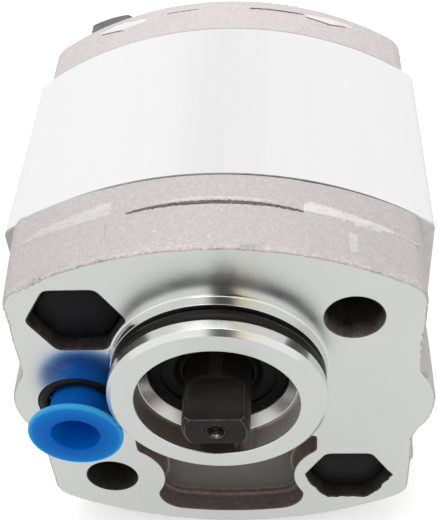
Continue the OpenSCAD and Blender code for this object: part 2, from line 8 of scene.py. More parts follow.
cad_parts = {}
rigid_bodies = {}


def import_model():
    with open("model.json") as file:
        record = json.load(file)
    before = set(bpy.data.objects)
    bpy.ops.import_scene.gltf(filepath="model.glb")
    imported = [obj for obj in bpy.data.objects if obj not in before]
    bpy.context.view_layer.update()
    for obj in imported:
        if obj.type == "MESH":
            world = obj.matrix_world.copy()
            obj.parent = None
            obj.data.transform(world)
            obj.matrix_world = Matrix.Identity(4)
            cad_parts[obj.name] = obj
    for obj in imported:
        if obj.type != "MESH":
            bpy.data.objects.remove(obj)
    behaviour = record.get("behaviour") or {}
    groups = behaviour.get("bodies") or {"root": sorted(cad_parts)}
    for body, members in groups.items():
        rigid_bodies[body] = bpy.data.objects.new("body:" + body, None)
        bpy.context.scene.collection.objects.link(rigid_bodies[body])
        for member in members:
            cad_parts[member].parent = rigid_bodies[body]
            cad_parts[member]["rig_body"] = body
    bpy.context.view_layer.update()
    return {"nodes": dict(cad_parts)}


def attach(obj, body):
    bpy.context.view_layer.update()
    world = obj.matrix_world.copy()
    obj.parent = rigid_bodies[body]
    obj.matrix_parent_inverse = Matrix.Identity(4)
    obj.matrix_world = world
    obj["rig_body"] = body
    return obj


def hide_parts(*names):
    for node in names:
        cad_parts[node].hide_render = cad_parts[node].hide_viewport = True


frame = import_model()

# A small hydraulic gear pump on white paper in a white studio. Its covers, plug, threads, centre
# hole and casting marks are new surfaces, and its other pieces are the CAD's or copies of them

# Lengths in millimetres, in the frame of the CAD: the pilot's axis at the mounting face. The
# covers first: _Y is a height along the shaft, _R a radius, _T a thickness, _H a height over what
# it stands on, _W a width and _AF a width across flats
MM = 0.001
BODY_HALF_W = 36.7
FRONT_HALF_W = 34.0
REAR_HALF_W = 35.0
LOBE_REACH = 37.1
LOBE_R = 14.0
LOBE_BLEND_R = 6.0
HALF_H = 38.6
ARC_R = 60.5
ARC_DROP = ARC_R - HALF_H
COVER_CORNER_R = 5.0
MID_Z = -10.0
FRONT_T = 17.0
REAR_Y = 59.3
BACK_Y = 68.8
EDGE = 0.3
LIP = 0.2

# Bolts, dowels and their holes. CLAMP_PLACES and MOUNT_PLACES are the corners of one square
HALF_PITCH = 22.5
CLAMP_PLACES = [(-HALF_PITCH, MID_Z + HALF_PITCH), (HALF_PITCH, MID_Z - HALF_PITCH)]
MOUNT_PLACES = [(HALF_PITCH, MID_Z + HALF_PITCH), (-HALF_PITCH, MID_Z - HALF_PITCH)]
DOWEL_PLACES = [(0.0, MID_Z + 34.3), (0.0, MID_Z - 34.3)]
DOWEL_R = 2.0
DOWEL_DEPTH = 6.0
BOLT_HOLE_R = 4.5
MOUNT_HOLE_R = 4.8
BOLT_R = 4.0
THREAD_DEEP = 0.6
THREAD_PITCH = 1.25
HEX_AF = 14.0
HEAD_AF = 13.4
POCKET_AF = 14.1
POCKET_DEPTH = 7.4
POCKET_CORNER = 0.6
NUT_Y = 72.4
NUT_H = 6.8
BOLT_END_Y = 80.6

# The cast pocket under the boss
RELIEF_TOP_Z = -19.65
RELIEF_HALF_W = 13.9
RELIEF_HORN = 16.5
RELIEF_WALL_R = 10.3
RELIEF_HALF_H = 34.6
RELIEF_ARC_R = 56.5
RELIEF_CORNER_R = 5.0
RELIEF_STEP = 3.4
RELIEF_DEPTH = 4.4
RELIEF_LEDGE = 0.8
RELIEF_ROOT = 0.25
RELIEF_FLOOR_ROOT = 0.5

# The pilot boss, its groove, and the bores through it from the face at -PILOT_H
PILOT_R = 18.25
PILOT_H = 7.8
PILOT_CHAMFER = 0.85
LAND_Y = -5.3
GROOVE_Y = (-5.1, -2.0)
GROOVE_R = 15.25
BOSS_FOOT = 0.45
COUPLING_R = 13.7
CONE_R = 13.3
CONE_Y = (-3.5, -1.5)
SEAL_R = 12.0
SEAL_SEAT_Y = 6.0
BACK_BORE_R = 7.5

# The drive shaft's tang, whose crown keeps the share TANG_TOP of its height over the flats
SHAFT_D = 12.0
SHAFT_END_Y = -13.0
TANG_W = 11.15
TANG_HALF_T = 3.15
TANG_ROOT = 5.5
TANG_TOP = 0.86

# The two ports and the plug
PORT_X = -25.2
PORT_R = 5.5
PORT_DEPTH = 13.0
PORT_RECESS_R = 7.45
PORT_RECESS_DEPTH = 1.6
SUCTION_X = 12.0
SUCTION_R = 5.0
SUCTION_CORE_R = 8.2
SUCTION_ROOT_R = SUCTION_CORE_R + 0.9
SUCTION_BOSS_R = 13.0
SUCTION_BOSS_H = 5.0
SUCTION_FILLET = 0.6
SUCTION_DEPTH = 12.0
SUCTION_PITCH = 1.5
PLUG_FLANGE_R = 8.3
PLUG_FLANGE_Y = (-6.6, -5.6)
PLUG_NECK_R = 5.25
PLUG_BEAD_R = 5.45
PLUG_HOLLOW_R = (4.15, 4.35)
PLUG_FLOOR_Y = 6.9
PLUG_END_Y = 8.0

# What casting and trimming left: the parting lines, the middle insert of the die, the gate
FRONT_FLASH_Y = 0.56 * FRONT_T
REAR_FLASH_Y = REAR_Y + 0.72 * (BACK_Y - REAR_Y)
FRONT_FLARE = (1.0, 0.4)
DRAFT = 0.008
RIDGE_H = 0.10
RIDGE_W = 0.16
INSERT_LEFT = -15.8
INSERT_RIGHT = 14.7
INSERT_H = 0.06
GATE_Z = -26.8
GATE_HALF_H = 1.3
GATE_PROUD = 0.45
GATE_END_Y = 3.6
CHIP_DEPTH = 0.2
CHIP_REACH = 0.55

# Numbers of the finishes on the covers, the flash, the body, the bolts and the shaft
(MACHINED, CAST, SHADED, BORE, TURNED_DARK, POCKET_FLOOR, LEDGE, TURNED, DEEPER_SHADE, LAND,
 SMEARED) = range(11)
TRIMMED, SCRAPED, UNTRIMMED, REAR_TRIMMED_PAINTED_LIGHT = range(4)
SKIN, SAWN, BORED = range(3)
FORGED, PHOSPHATED = range(2)
WORN = 1


def fitted_camera():
    """The camera that was fitted to the photo: its lens, its two directions and its place."""
    data = bpy.data.cameras.new("camera")
    data.sensor_width = 36
    data.lens = 72.777
    camera = bpy.data.objects.new("camera", data)
    bpy.context.scene.collection.objects.link(camera)
    right = Vector((0.997308, 0.038296, -0.062529))
    up = Vector((0.016817, 0.710575, 0.70342))
    placed = Matrix((right, up, right.cross(up))).transposed().to_4x4()
    placed.translation = Vector((0.012962, -0.111736, 0.138611))
    camera.matrix_world = placed
    bpy.context.scene.camera = camera


# Outlines in X and Z
def arc(x, z, r, start, end):
    """Points of a circular arc about (x, z), from one angle in degrees to the other."""
    step = 0.6
    count = max(2, int(np.ceil(abs(np.radians(end - start)) * r / step)) + 1)
    a = np.radians(np.linspace(start, end, count))
    return np.stack([x + r * np.cos(a), z + r * np.sin(a)], 1)


def hole_loop(x, z, r, step=0.4):
    """A hole's circle as rows of x, z and the direction out of the metal, which is inwards."""
    count = max(24, int(2 * np.pi * r / step))
    a = np.arange(count) * 2 * np.pi / count
    way = np.stack([np.cos(a), np.sin(a)], 1)
    return np.hstack([[x, z] + r * way, -way])


def soft_loop(points, soften, hole=False, step=0.3):
    """A closed line through the points, spaced evenly and blurred along its length by a bell
    curve of the width soften, which rounds its corners. The direction is the line's tangent
    turned by a right angle, outwards or, for a hole, inwards. The blur works on finer points."""
    finer = 4
    p = np.vstack([points, points[:1]])
    lengths = np.hypot(*np.diff(p, axis=0).T)
    p = p[np.concatenate([lengths > 1e-6, [True]])]
    run = np.concatenate([[0], np.cumsum(np.hypot(*np.diff(p, axis=0).T))])
    count = int(run[-1] / step)
    fine = count * finer
    s = np.arange(fine) * run[-1] / fine
    line = np.interp(s, run, p[:, 0]) + 1j * np.interp(s, run, p[:, 1])
    waves = np.fft.fftfreq(fine, run[-1] / fine)
    line = np.fft.ifft(np.fft.fft(line) * np.exp(-2 * (np.pi * waves * soften) ** 2))
    tangent = np.roll(line, -1) - np.roll(line, 1)
    area = np.sum(line.real * np.roll(line, -1).imag - np.roll(line, -1).real * line.imag)
    way = tangent / np.abs(tangent) * (-1j if (area > 0) != hole else 1j)
    line, way = line[::finer], way[::finer]
    return np.stack([line.real, line.imag, way.real, way.imag], 1)


def both_sides(right):
    """The whole outline from its right half, which runs from the top middle downwards."""
    return np.vstack([right, (right * [-1, 1])[::-1]])


def arc_quarter(half_w, half_h, r, corner):
    """From the top middle along the big arc and round the corner, to where the side starts."""
    drop = r - half_h
    corner_x = half_w - corner
    corner_z = np.sqrt((r - corner) ** 2 - corner_x ** 2) - drop
    turn = np.degrees(np.arctan2(corner_z + drop, corner_x))
    return np.vstack([arc(0, -drop, r, 90, turn), arc(corner_x, corner_z, corner, turn, 0)])


def cover_points(half_w):
    """A cover's outline: arcs above and below, and a lobe on each side blended into the side."""
    lobe_x = LOBE_REACH - LOBE_R
    blend_x = half_w + LOBE_BLEND_R
    blend_z = np.sqrt((LOBE_R + LOBE_BLEND_R) ** 2 - (blend_x - lobe_x) ** 2)
    turn = np.degrees(np.arctan2(blend_z, blend_x - lobe_x))
    quarter = np.vstack([
        arc_quarter(half_w, HALF_H, ARC_R, COVER_CORNER_R),
        arc(blend_x, blend_z, LOBE_BLEND_R, 180, 180 + turn),
        arc(lobe_x, 0, LOBE_R, turn, 0)])
    return both_sides(np.vstack([quarter, (quarter * [1, -1])[::-1]])) + [0, MID_Z]


def relief_points(inset):
    """The cast pocket: its top runs out in two horns, its sides bend round the two lower bolts
    and its bottom follows the cover's arc."""
    top_z = RELIEF_TOP_Z - inset
    half_w = RELIEF_HALF_W - inset
    horn = RELIEF_HORN - inset
    wall_r = RELIEF_WALL_R + inset
    bolt_z = MID_Z - HALF_PITCH
    upper = np.degrees(np.arccos((HALF_PITCH - horn) / wall_r))
    lower = np.degrees(np.arccos((HALF_PITCH - half_w) / wall_r))
    quarter = arc_quarter(half_w, RELIEF_HALF_H - inset, RELIEF_ARC_R - inset,
                          RELIEF_CORNER_R - inset)
    bottom = quarter[::-1] * [1, -1] + [0, MID_Z]
    return both_sides(np.vstack([
        [[0, top_z], [horn, top_z]],
        arc(HALF_PITCH, bolt_z, wall_r, 180 - upper, 180 + lower),
        bottom]))


def hexagon_points(x, z, af):
    """The six corners of a hexagon of the width af across its flats, the first on its right."""
    a = np.radians(60 * np.arange(6))
    return np.stack([x + af / np.sqrt(3) * np.cos(a), z + af / np.sqrt(3) * np.sin(a)], 1)


# Surfaces
def unit(v):
    """A direction in the plane, with the length 1."""
    return v / np.hypot(*v)


def soft_profile(corners, steps=5):
    """A profile of (out, y, radius) corners, each rounded by an arc that touches both its sides,
    unless its radius is 0 or its sides are in line: rows of out, y and the direction out of the
    metal, which lies to the right of the run."""
    nearly_straight = 1.565
    c = np.array(corners, float)
    rows = [[*c[0, :2], *unit(c[1, :2] - c[0, :2])]]
    for before, here, after in zip(c[:-2], c[1:-1], c[2:]):
        a = unit(before[:2] - here[:2])
        b = unit(after[:2] - here[:2])
        half = np.arccos(np.clip(a @ b, -1, 1)) / 2
        if here[2] == 0 or half > nearly_straight:
            rows.append([*here[:2], *unit(b - a)])
            continue
        centre = here[:2] + unit(a + b) * here[2] / np.sin(half)
        start = here[:2] + a * here[2] / np.tan(half) - centre
        end = here[:2] + b * here[2] / np.tan(half) - centre
        turn = np.arctan2(start[0] * end[1] - start[1] * end[0], start @ end)
        angle = np.linspace(0, turn, steps + 1)[:, None]
        side = np.array([-start[1], start[0]])
        at = centre + start * np.cos(angle) + side * np.sin(angle)
        run = (side * np.cos(angle) - start * np.sin(angle)) * np.sign(turn) / here[2]
        rows.extend(np.hstack([at, run]))
    rows.append([*c[-1, :2], *unit(c[-1, :2] - c[-2, :2])])
    p = np.array(rows)
    keep = np.concatenate([[True], np.hypot(*np.diff(p[:, :2], axis=0).T) > 1e-4])
    p = p[keep]
    return np.stack([p[:, 0], p[:, 1], p[:, 3], -p[:, 2]], 1)


class Skin:
    """Gathers grids and flat faces, then welds them into one closed piece."""

    def __init__(self):
        self.points, self.normals, self.faces, self.finish = [], [], [], []
        self.count = 0

    def take(self, points, normals, faces, finish):
        """Adds points, their normals and the faces between them, all of one finish."""
        self.points.append(points)
        self.normals.append(normals)
        self.faces.append(np.asarray(faces) + self.count)
        self.finish.append(np.full(len(faces), finish))
        self.count += len(points)

    def grid(self, p, n, finish):
        """A grid of points p and normals n, closed along its first parameter."""
        rows, columns = p.shape[:2]
        index = np.arange(rows * columns).reshape(rows, columns)
        index = np.vstack([index, index[:1]])
        quads = np.stack([index[:-1, :-1], index[1:, :-1], index[1:, 1:], index[:-1, 1:]], -1)
        self.take(p.reshape(-1, 3), n.reshape(-1, 3), quads.reshape(-1, 4), finish)

    def band(self, loop, profile, finish, shift=None):
        """The profile carried round the loop: each point is the loop's point moved by out along
        its direction, at the profile's y. shift adds a further outward amount to each point, and
        then the normals of the straight wall are found from the grid."""
        out = profile[None, :, 0] + (0 if shift is None else shift)
        x = loop[:, None, 0] + loop[:, None, 2] * out
        z = loop[:, None, 1] + loop[:, None, 3] * out
        y = np.broadcast_to(profile[None, :, 1], x.shape)
        p = np.stack([x, y, z], -1)
        n = np.stack([loop[:, None, 2] * profile[None, :, 2],
                      np.broadcast_to(profile[None, :, 3], x.shape),
                      loop[:, None, 3] * profile[None, :, 2]], -1)
        if shift is not None:
            rounded = np.abs(profile[None, :, 2:3]) < 0.999
            n = np.where(rounded, n, found_normals(p, n))
        self.grid(p, n, finish)

    def flat(self, y, facing, outer, holes, finish):
        """A flat face at y between an outer loop and holes, cut into triangles. Those whose
        middle lies outside the outer loop or in a hole are left out."""
        rings = [outer] + list(holes)
        edges, start = [], 0
        for ring in rings:
            k = np.arange(len(ring))
            edges += (np.stack([k, (k + 1) % len(ring)], 1) + start).tolist()
            start += len(ring)
        flat_points = [Vector(p) for p in np.vstack([r[:, :2] for r in rings])]
        corners, _, triangles = delaunay_2d_cdt(flat_points, edges, [], 1, 1e-7)[:3]
        at = np.array([tuple(v) for v in corners])
        tris = np.array([f[:3] for f in triangles])
        middle = at[tris].mean(1)
        kept = inside(middle, outer[:, :2])
        for hole in holes:
            kept &= ~inside(middle, hole[:, :2])
        points = np.stack([at[:, 0], np.full(len(at), y), at[:, 1]], 1)
        self.take(points, np.tile([0.0, facing, 0.0], (len(at), 1)), tris[kept], finish)

    def piece(self, name, materials, body, slot, replaced=()):
        """Welds what was gathered, turns each face to its points' normals and makes the piece."""
        points = np.vstack(self.points) * MM
        normals = np.vstack(self.normals)
        faces = [f for block in self.faces for f in block.tolist()]
        mesh = bpy.data.meshes.new(name)
        mesh.from_pydata(points.tolist(), [], faces)
        mesh.polygons.foreach_set("material_index", np.concatenate(self.finish).astype(np.int32))
        way = mesh.attributes.new("way", "FLOAT_VECTOR", "POINT")
        way.data.foreach_set("vector", normals.astype(np.float32).ravel())
        work = bmesh.new()
        work.from_mesh(mesh)
        bmesh.ops.remove_doubles(work, verts=work.verts, dist=2e-6)
        bmesh.ops.dissolve_degenerate(work, edges=work.edges, dist=1e-7)
        layer = work.verts.layers.float_vector["way"]
        work.normal_update()
        wrong = [f for f in work.faces
                 if sum((v[layer].dot(f.normal) for v in f.verts), 0.0) < 0]
        for f in wrong:
            f.normal_flip()
        work.to_mesh(mesh)
        work.free()
        way = np.zeros(len(mesh.vertices) * 3, np.float32)
        mesh.attributes["way"].data.foreach_get("vector", way)
        mesh.attributes.remove(mesh.attributes["way"])
        mesh.shade_smooth()
        mesh.normals_split_custom_set_from_vertices(way.reshape(-1, 3).tolist())
        return finished(name, mesh, materials, body, replaced)


def finished(name, mesh, materials, body, replaced=()):
    """An object from a mesh, with its materials, its body and the CAD nodes that
    it replaces."""
    piece = bpy.data.objects.new(name, mesh)
    bpy.context.scene.collection.objects.link(piece)
    finish = np.zeros(len(mesh.polygons), np.int32)
    mesh.polygons.foreach_get("material_index", finish)
    mesh.materials.clear()
    for m in materials:
        mesh.materials.append(m)
    mesh.polygons.foreach_set("material_index", np.minimum(finish, len(materials) - 1))
    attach(piece, body)
    if replaced:
        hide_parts(*replaced)
    return piece


def inside(points, ring):
    """Which points lie inside a closed ring: an odd number of its edges lies to their right."""
    x, z = points[:, None, 0], points[:, None, 1]
    ax, az = ring[None, :, 0], ring[None, :, 1]
    bx, bz = np.roll(ax, -1, 1), np.roll(az, -1, 1)
    spans = (az > z) != (bz > z)
    rise = np.where(bz == az, 1e-12, bz - az)
    cut = ax + (z - az) / rise * (bx - ax)
    return (np.sum(spans & (x < cut), 1) % 2) == 1


def moved(loop, out):
    """The loop moved along its directions, by one amount or by one for each point."""
    return np.hstack([loop[:, :2] + loop[:, 2:] * np.reshape(out, (-1, 1)), loop[:, 2:]])


def smooth_noise(count, width, seed):
    """Random values round a closed line, blurred over that many points, with a spread of 1."""
    rough = np.random.default_rng(seed).standard_normal(count)
    waves = np.fft.fftfreq(count)
    soft = np.fft.ifft(np.fft.fft(rough) * np.exp(-2 * (np.pi * waves * width) ** 2)).real
    return soft / soft.std()


def found_normals(p, outward):
    """Unit normals of a grid p closed along its first parameter: the cross product of its two
    differences, on the side of the directions outward."""
    along = np.roll(p, -1, 0) - np.roll(p, 1, 0)
    across = np.gradient(p, axis=1)
    n = np.cross(along, across)
    size = np.linalg.norm(n, axis=-1, keepdims=True)
    n = np.where(size > 1e-9, n / np.maximum(size, 1e-9), outward)
    return n * np.where(np.sum(n * outward, -1, keepdims=True) < 0, -1, 1)


def softened(node, name, width, chosen, materials, segments=2, worn=-1):
    """A welded copy of a CAD node whose chosen sharp edges are rounded. chosen gets the middles
    of the edges in millimetres. The rounded edges take the material with the number worn, or keep
    their own where it is -1."""
    turn = np.radians(30)
    mesh = frame["nodes"][node].data.copy()
    mesh.name = name
    work = bmesh.new()
    work.from_mesh(mesh)
    bmesh.ops.remove_doubles(work, verts=work.verts, dist=1e-6)
    bmesh.ops.dissolve_limit(work, angle_limit=np.radians(0.5), verts=work.verts,
                             edges=work.edges)
    sharp = np.array([e.calc_face_angle(0) for e in work.edges]) > turn
    middles = np.array([(e.verts[0].co + e.verts[1].co) / 2 for e in work.edges]) / MM
    weights = (sharp & chosen(middles)).astype(float)
    layer = work.edges.layers.float.new("bevel_weight_edge")
    for edge, weight in zip(work.edges, weights.tolist()):
        edge[layer] = weight
    work.to_mesh(mesh)
    work.free()
    mesh.shade_smooth()
    mesh.set_sharp_from_angle(angle=turn)
    body = frame["nodes"][node]["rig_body"]
    piece = finished(name, mesh, materials, body, (node,))
    bevel = piece.modifiers.new("rounded edges", "BEVEL")
    bevel.limit_method = "WEIGHT"
    bevel.width = width * MM
    bevel.segments = segments
    bevel.use_clamp_overlap = False
    bevel.harden_normals = True
    bevel.material = worn
    return piece


# Materials
WHITE = (1, 1, 1)


def finish_of(name, colour, metallic, roughness, shine=0.5):
    """A new material with its node tree and its shader. shine is the level of the reflections
    that its own colour doesn't tint."""
    made = bpy.data.materials.new(name)
    made.use_nodes = True
    tree = made.node_tree
    shader = tree.nodes["Principled BSDF"]
    shader.inputs["Base Color"].default_value = (*colour, 1)
    shader.inputs["Metallic"].default_value = metallic
    shader.inputs["Roughness"].default_value = roughness
    shader.inputs["Specular IOR Level"].default_value = shine
    return made, tree, shader


def put(tree, value, port):
    """Gives a node's input a number or a colour, or joins it to the output of another node."""
    if isinstance(value, bpy.types.NodeSocket):
        tree.links.new(value, port)
    else:
        port.default_value = value


def worked(tree, operation, *values, kind="Math", result="Value"):
    """The result of one Math or VectorMath node on numbers and the outputs of other nodes."""
    node = tree.nodes.new("ShaderNode" + kind)
    node.operation = operation
    for value, port in zip(values, node.inputs):
        put(tree, value, port)
    return node.outputs[result]


def place_along(tree, axis):
    """How far a point of the piece lies along X, Y or Z, in metres."""
    place = tree.nodes.new("ShaderNodeTexCoord")
    apart = tree.nodes.new("ShaderNodeSeparateXYZ")
    tree.links.new(place.outputs["Object"], apart.inputs["Vector"])
    return apart.outputs[axis]


def from_axis(tree, x, z):
    """The way to a point from an axis along Y at (x, z) in millimetres, and its length."""
    place = tree.nodes.new("ShaderNodeTexCoord").outputs["Object"]
    spoke = worked(tree, "MULTIPLY_ADD", place, (1, 0, 1), (-x * MM, 0, -z * MM),
                   kind="VectorMath", result="Vector")
    return spoke, worked(tree, "LENGTH", spoke, kind="VectorMath")


def shade(colour, level):
    """A colour made lighter or darker by a level."""
    return tuple(level * c for c in colour)


def noise(tree, scale, detail, rough, stretch=(1, 1, 1)):
    """Noise on Object coordinates with grains of about 1 / scale metres, and longer by 1 / stretch
    along each axis."""
    place = tree.nodes.new("ShaderNodeTexCoord")
    sized = tree.nodes.new("ShaderNodeMapping")
    sized.inputs["Scale"].default_value = stretch
    grain = tree.nodes.new("ShaderNodeTexNoise")
    grain.inputs["Scale"].default_value = scale
    grain.inputs["Detail"].default_value = detail
    grain.inputs["Roughness"].default_value = rough
    tree.links.new(place.outputs["Object"], sized.inputs["Vector"])
    tree.links.new(sized.outputs["Vector"], grain.inputs["Vector"])
    return grain.outputs["Fac"]


def ramp(tree, value, stops):
    """A colour ramp with (place, colour) stops."""
    node = tree.nodes.new("ShaderNodeValToRGB")
    bar = node.color_ramp
    while len(bar.elements) < len(stops):
        bar.elements.new(0.5)
    for element, (place, colour) in zip(bar.elements, stops):
        element.position = place
        element.color = (*colour, 1)
    tree.links.new(value, node.inputs["Fac"])
    return node.outputs["Color"]


def spread(tree, value, low, high, to_low, to_high):
    """A value taken from one range to another."""
    node = tree.nodes.new("ShaderNodeMapRange")
    node.inputs["From Min"].default_value = low
    node.inputs["From Max"].default_value = high
    node.inputs["To Min"].default_value = to_low
    node.inputs["To Max"].default_value = to_high
    tree.links.new(value, node.inputs["Value"])
    return node.outputs["Result"]


def bumped(tree, shader, value, strength, distance, before=None):
    """A bump of that height in metres on the shader's normal."""
    node = tree.nodes.new("ShaderNodeBump")
    node.inputs["Strength"].default_value = strength
    node.inputs["Distance"].default_value = distance
    tree.links.new(value, node.inputs["Height"])
    if before is not None:
        tree.links.new(before, node.inputs["Normal"])
    tree.links.new(node.outputs["Normal"], shader.inputs["Normal"])
    return node.outputs["Normal"]


def mixed(tree, share, low, high):
    """Two colours mixed by a share."""
    node = tree.nodes.new("ShaderNodeMix")
    node.data_type = "RGBA"
    put(tree, share, node.inputs["Factor"])
    put(tree, low, node.inputs[6])
    put(tree, high, node.inputs[7])
    return node.outputs[2]


def cast_finish(name, level):
    """Die-cast aluminium: grey with pink clouds, a fine soft grain and a few bright specks, and
    scraps of torn metal by the milled edge. level makes the grey and pink lighter or darker."""
    made, tree, shader = finish_of(name, (0.6, 0.56, 0.55), 0.2, 0.6, 0.3)
    clouds = noise(tree, 260, 5, 0.6)
    grain = noise(tree, 1300, 8, 0.8)
    grey = ramp(tree, grain, [(0.30, shade((0.53, 0.50, 0.485), level)),
                              (0.50, shade((0.61, 0.575, 0.565), level)),
                              (0.72, shade((0.71, 0.68, 0.67), level))])
    pink = ramp(tree, grain, [(0.30, shade((0.53, 0.475, 0.47), level)),
                              (0.50, shade((0.615, 0.565, 0.56), level)),
                              (0.72, shade((0.715, 0.67, 0.665), level))])
    colour = mixed(tree, spread(tree, clouds, 0.4, 0.6, 0, 1), grey, pink)
    by_the_edge = spread(tree, place_along(tree, "Y"), 0.0, 0.0022, 1, 0)
    torn = spread(tree, noise(tree, 1500, 3, 0.7, (1, 2, 1)), 0.50, 0.64, 0, 1)
    burnt = ramp(tree, clouds, [(0.40, (0.26, 0.23, 0.21)), (0.47, (0.80, 0.77, 0.74))])
    colour = mixed(tree, worked(tree, "MULTIPLY", by_the_edge, torn), colour, burnt)
    specks = spread(tree, noise(tree, 2300, 2, 0.5), 0.69, 0.75, 0, 1)
    light = ramp(tree, specks, [(0.0, (0.84, 0.81, 0.80)), (1.0, (0.88, 0.86, 0.85))])
    colour = mixed(tree, specks, colour, light)
    tree.links.new(colour, shader.inputs["Base Color"])
    bump = bumped(tree, shader, noise(tree, 420, 5, 0.6), 0.45, 0.00025)
    bumped(tree, shader, grain, 0.35, 0.0001, bump)
    return made


def trimmed_finish(name, level):
    """Where flash was cut off the casting: lighter and smoother, torn along one way."""
    made, tree, shader = finish_of(name, (0.80, 0.77, 0.76), 0.3, 0.5)
    torn = noise(tree, 900, 5, 0.7, (0.5, 1, 1))
    colour = ramp(tree, torn, [(0.3, shade((0.70, 0.665, 0.655), level)),
                               (0.6, shade((0.81, 0.785, 0.77), level))])
    tree.links.new(colour, shader.inputs["Base Color"])
    bumped(tree, shader, torn, 0.4, 0.00012)
    return made


def stain_and_shadow_finish():
    """The brown, sooty line where the two halves of the die met, which also is the painted shadow of
    the step between the two halves.
    """
    made, tree, shader = finish_of("stained parting line", (0.10, 0.075, 0.07), 0.1, 0.7)
    soot = noise(tree, 1600, 6, 0.75)
    colour = ramp(tree, soot, [(0.35, (0.055, 0.040, 0.038)), (0.62, (0.22, 0.18, 0.17))])
    tree.links.new(colour, shader.inputs["Base Color"])
    bumped(tree, shader, soot, 0.5, 0.0001)
    return made


def machined_finish(name, roughness, across_rings):
    """Turned aluminium: light, with faint rings about the pilot's axis, where the height is noise
    of the distance from that axis, and faint smudges in its colour and roughness. It blurs what
    it mirrors across the rings, along the normal's cross product with the rings' direction."""
    made, tree, shader = finish_of(name, (0.80, 0.81, 0.795), 1.0, roughness)
    spoke, reach = from_axis(tree, 0, 0)
    rings = tree.nodes.new("ShaderNodeTexNoise")
    rings.noise_dimensions = "1D"
    rings.inputs["Scale"].default_value = 1100
    rings.inputs["Detail"].default_value = 1
    tree.links.new(reach, rings.inputs["W"])
    smudges = noise(tree, 90, 4, 0.6)
    tree.links.new(spread(tree, smudges, 0.35, 0.65, 0.85 * roughness, 1.15 * roughness),
                   shader.inputs["Roughness"])
    tree.links.new(ramp(tree, smudges, [(0.35, (0.775, 0.785, 0.765)), (0.65, (0.80, 0.81, 0.79))]),
                   shader.inputs["Base Color"])
    along_ring = worked(tree, "CROSS_PRODUCT", spoke, (0, 1, 0), kind="VectorMath", result="Vector")
    normal = tree.nodes.new("ShaderNodeNewGeometry").outputs["Normal"]
    across = worked(tree, "CROSS_PRODUCT", normal, along_ring, kind="VectorMath", result="Vector")
    shader.inputs["Anisotropic"].default_value = across_rings
    tree.links.new(across, shader.inputs["Tangent"])
    bumped(tree, shader, rings.outputs["Fac"], 0.1, 0.000004)
    return made


def extruded_finish():
    """The body's bright, almost white skin, greyer along its middle and lighter at its sides by X,
    which is a painted reflection, with faint streaks along the way it was pressed and a few scuffs."""
    made, tree, shader = finish_of("extruded aluminium", (0.84, 0.835, 0.838), 0.0, 0.55, 0.3)
    fine = noise(tree, 900, 4, 0.6, (1, 0.15, 1))
    streaks = noise(tree, 260, 3, 0.6, (1, 0.04, 1))
    waved = worked(tree, "MULTIPLY_ADD", streaks, 0.012, place_along(tree, "X"))
    # painted reflection: greyer along the middle of X and lighter towards the two sides
    painted_reflection_by_x = ramp(tree, spread(tree, waved, -0.034, 0.046, 0, 1),
                [(0.0, (0.92, 0.915, 0.92)), (0.36, (0.865, 0.855, 0.86)),
                 (0.5, (0.785, 0.775, 0.78)), (0.64, (0.85, 0.84, 0.845)),
                 (1.0, (0.95, 0.94, 0.945))])
    scuffs = spread(tree, noise(tree, 150, 6, 0.75, (1, 0.3, 0.6)), 0.60, 0.72, 0, 0.7)
    pale = ramp(tree, fine, [(0.3, (0.90, 0.90, 0.905)), (0.7, (0.96, 0.96, 0.965))])
    tree.links.new(mixed(tree, scuffs, painted_reflection_by_x, pale), shader.inputs["Base Color"])
    bumped(tree, shader, fine, 0.12, 0.00003)
    return made


def dark_finish(name, colour, metallic, roughness, scale, contrast=0.3, height=0.25, shine=0.5):
    """A surface mottled by noise: its colour varies by the contrast both ways."""
    made, tree, shader = finish_of(name, colour, metallic, roughness, shine)
    fine = noise(tree, scale, 5, 0.65)
    mottle = ramp(tree, fine, [(0.35, shade(colour, 1 - contrast)),
                               (0.65, shade(colour, 1 + contrast))])
    tree.links.new(mottle, shader.inputs["Base Color"])
    tree.links.new(spread(tree, fine, 0.3, 0.7, roughness - 0.08, roughness + 0.1),
                   shader.inputs["Roughness"])
    bumped(tree, shader, fine, height, 0.00006)
    return made


def shaft_finish():
    """Hardened steel: dark brown and satin at the tang, and by Y blacker further in, which is
    painted shade of the bore, and duller there.
    """
    made, tree, shader = finish_of("hardened shaft steel", (0.02, 0.017, 0.015), 0.2, 0.42, 0.12)
    mottle = noise(tree, 260, 5, 0.65)
    inwards = spread(tree, place_along(tree, "Y"), -0.0075, -0.0045, 0, 1)
    dry = ramp(tree, mottle, [(0.35, (0.017, 0.0145, 0.012)), (0.65, (0.028, 0.024, 0.020))])
    # painted shade: the steel darker further into the bore
    painted_bore_shade = ramp(tree, mottle, [(0.35, (0.010, 0.009, 0.008)), (0.65, (0.015, 0.0135, 0.012))])
    tree.links.new(mixed(tree, inwards, dry, painted_bore_shade), shader.inputs["Base Color"])
    satin = spread(tree, mottle, 0.3, 0.7, 0.36, 0.52)
    tree.links.new(worked(tree, "MULTIPLY_ADD", inwards, 0.3, satin), shader.inputs["Roughness"])
    bumped(tree, shader, mottle, 0.2, 0.00005)
    return made


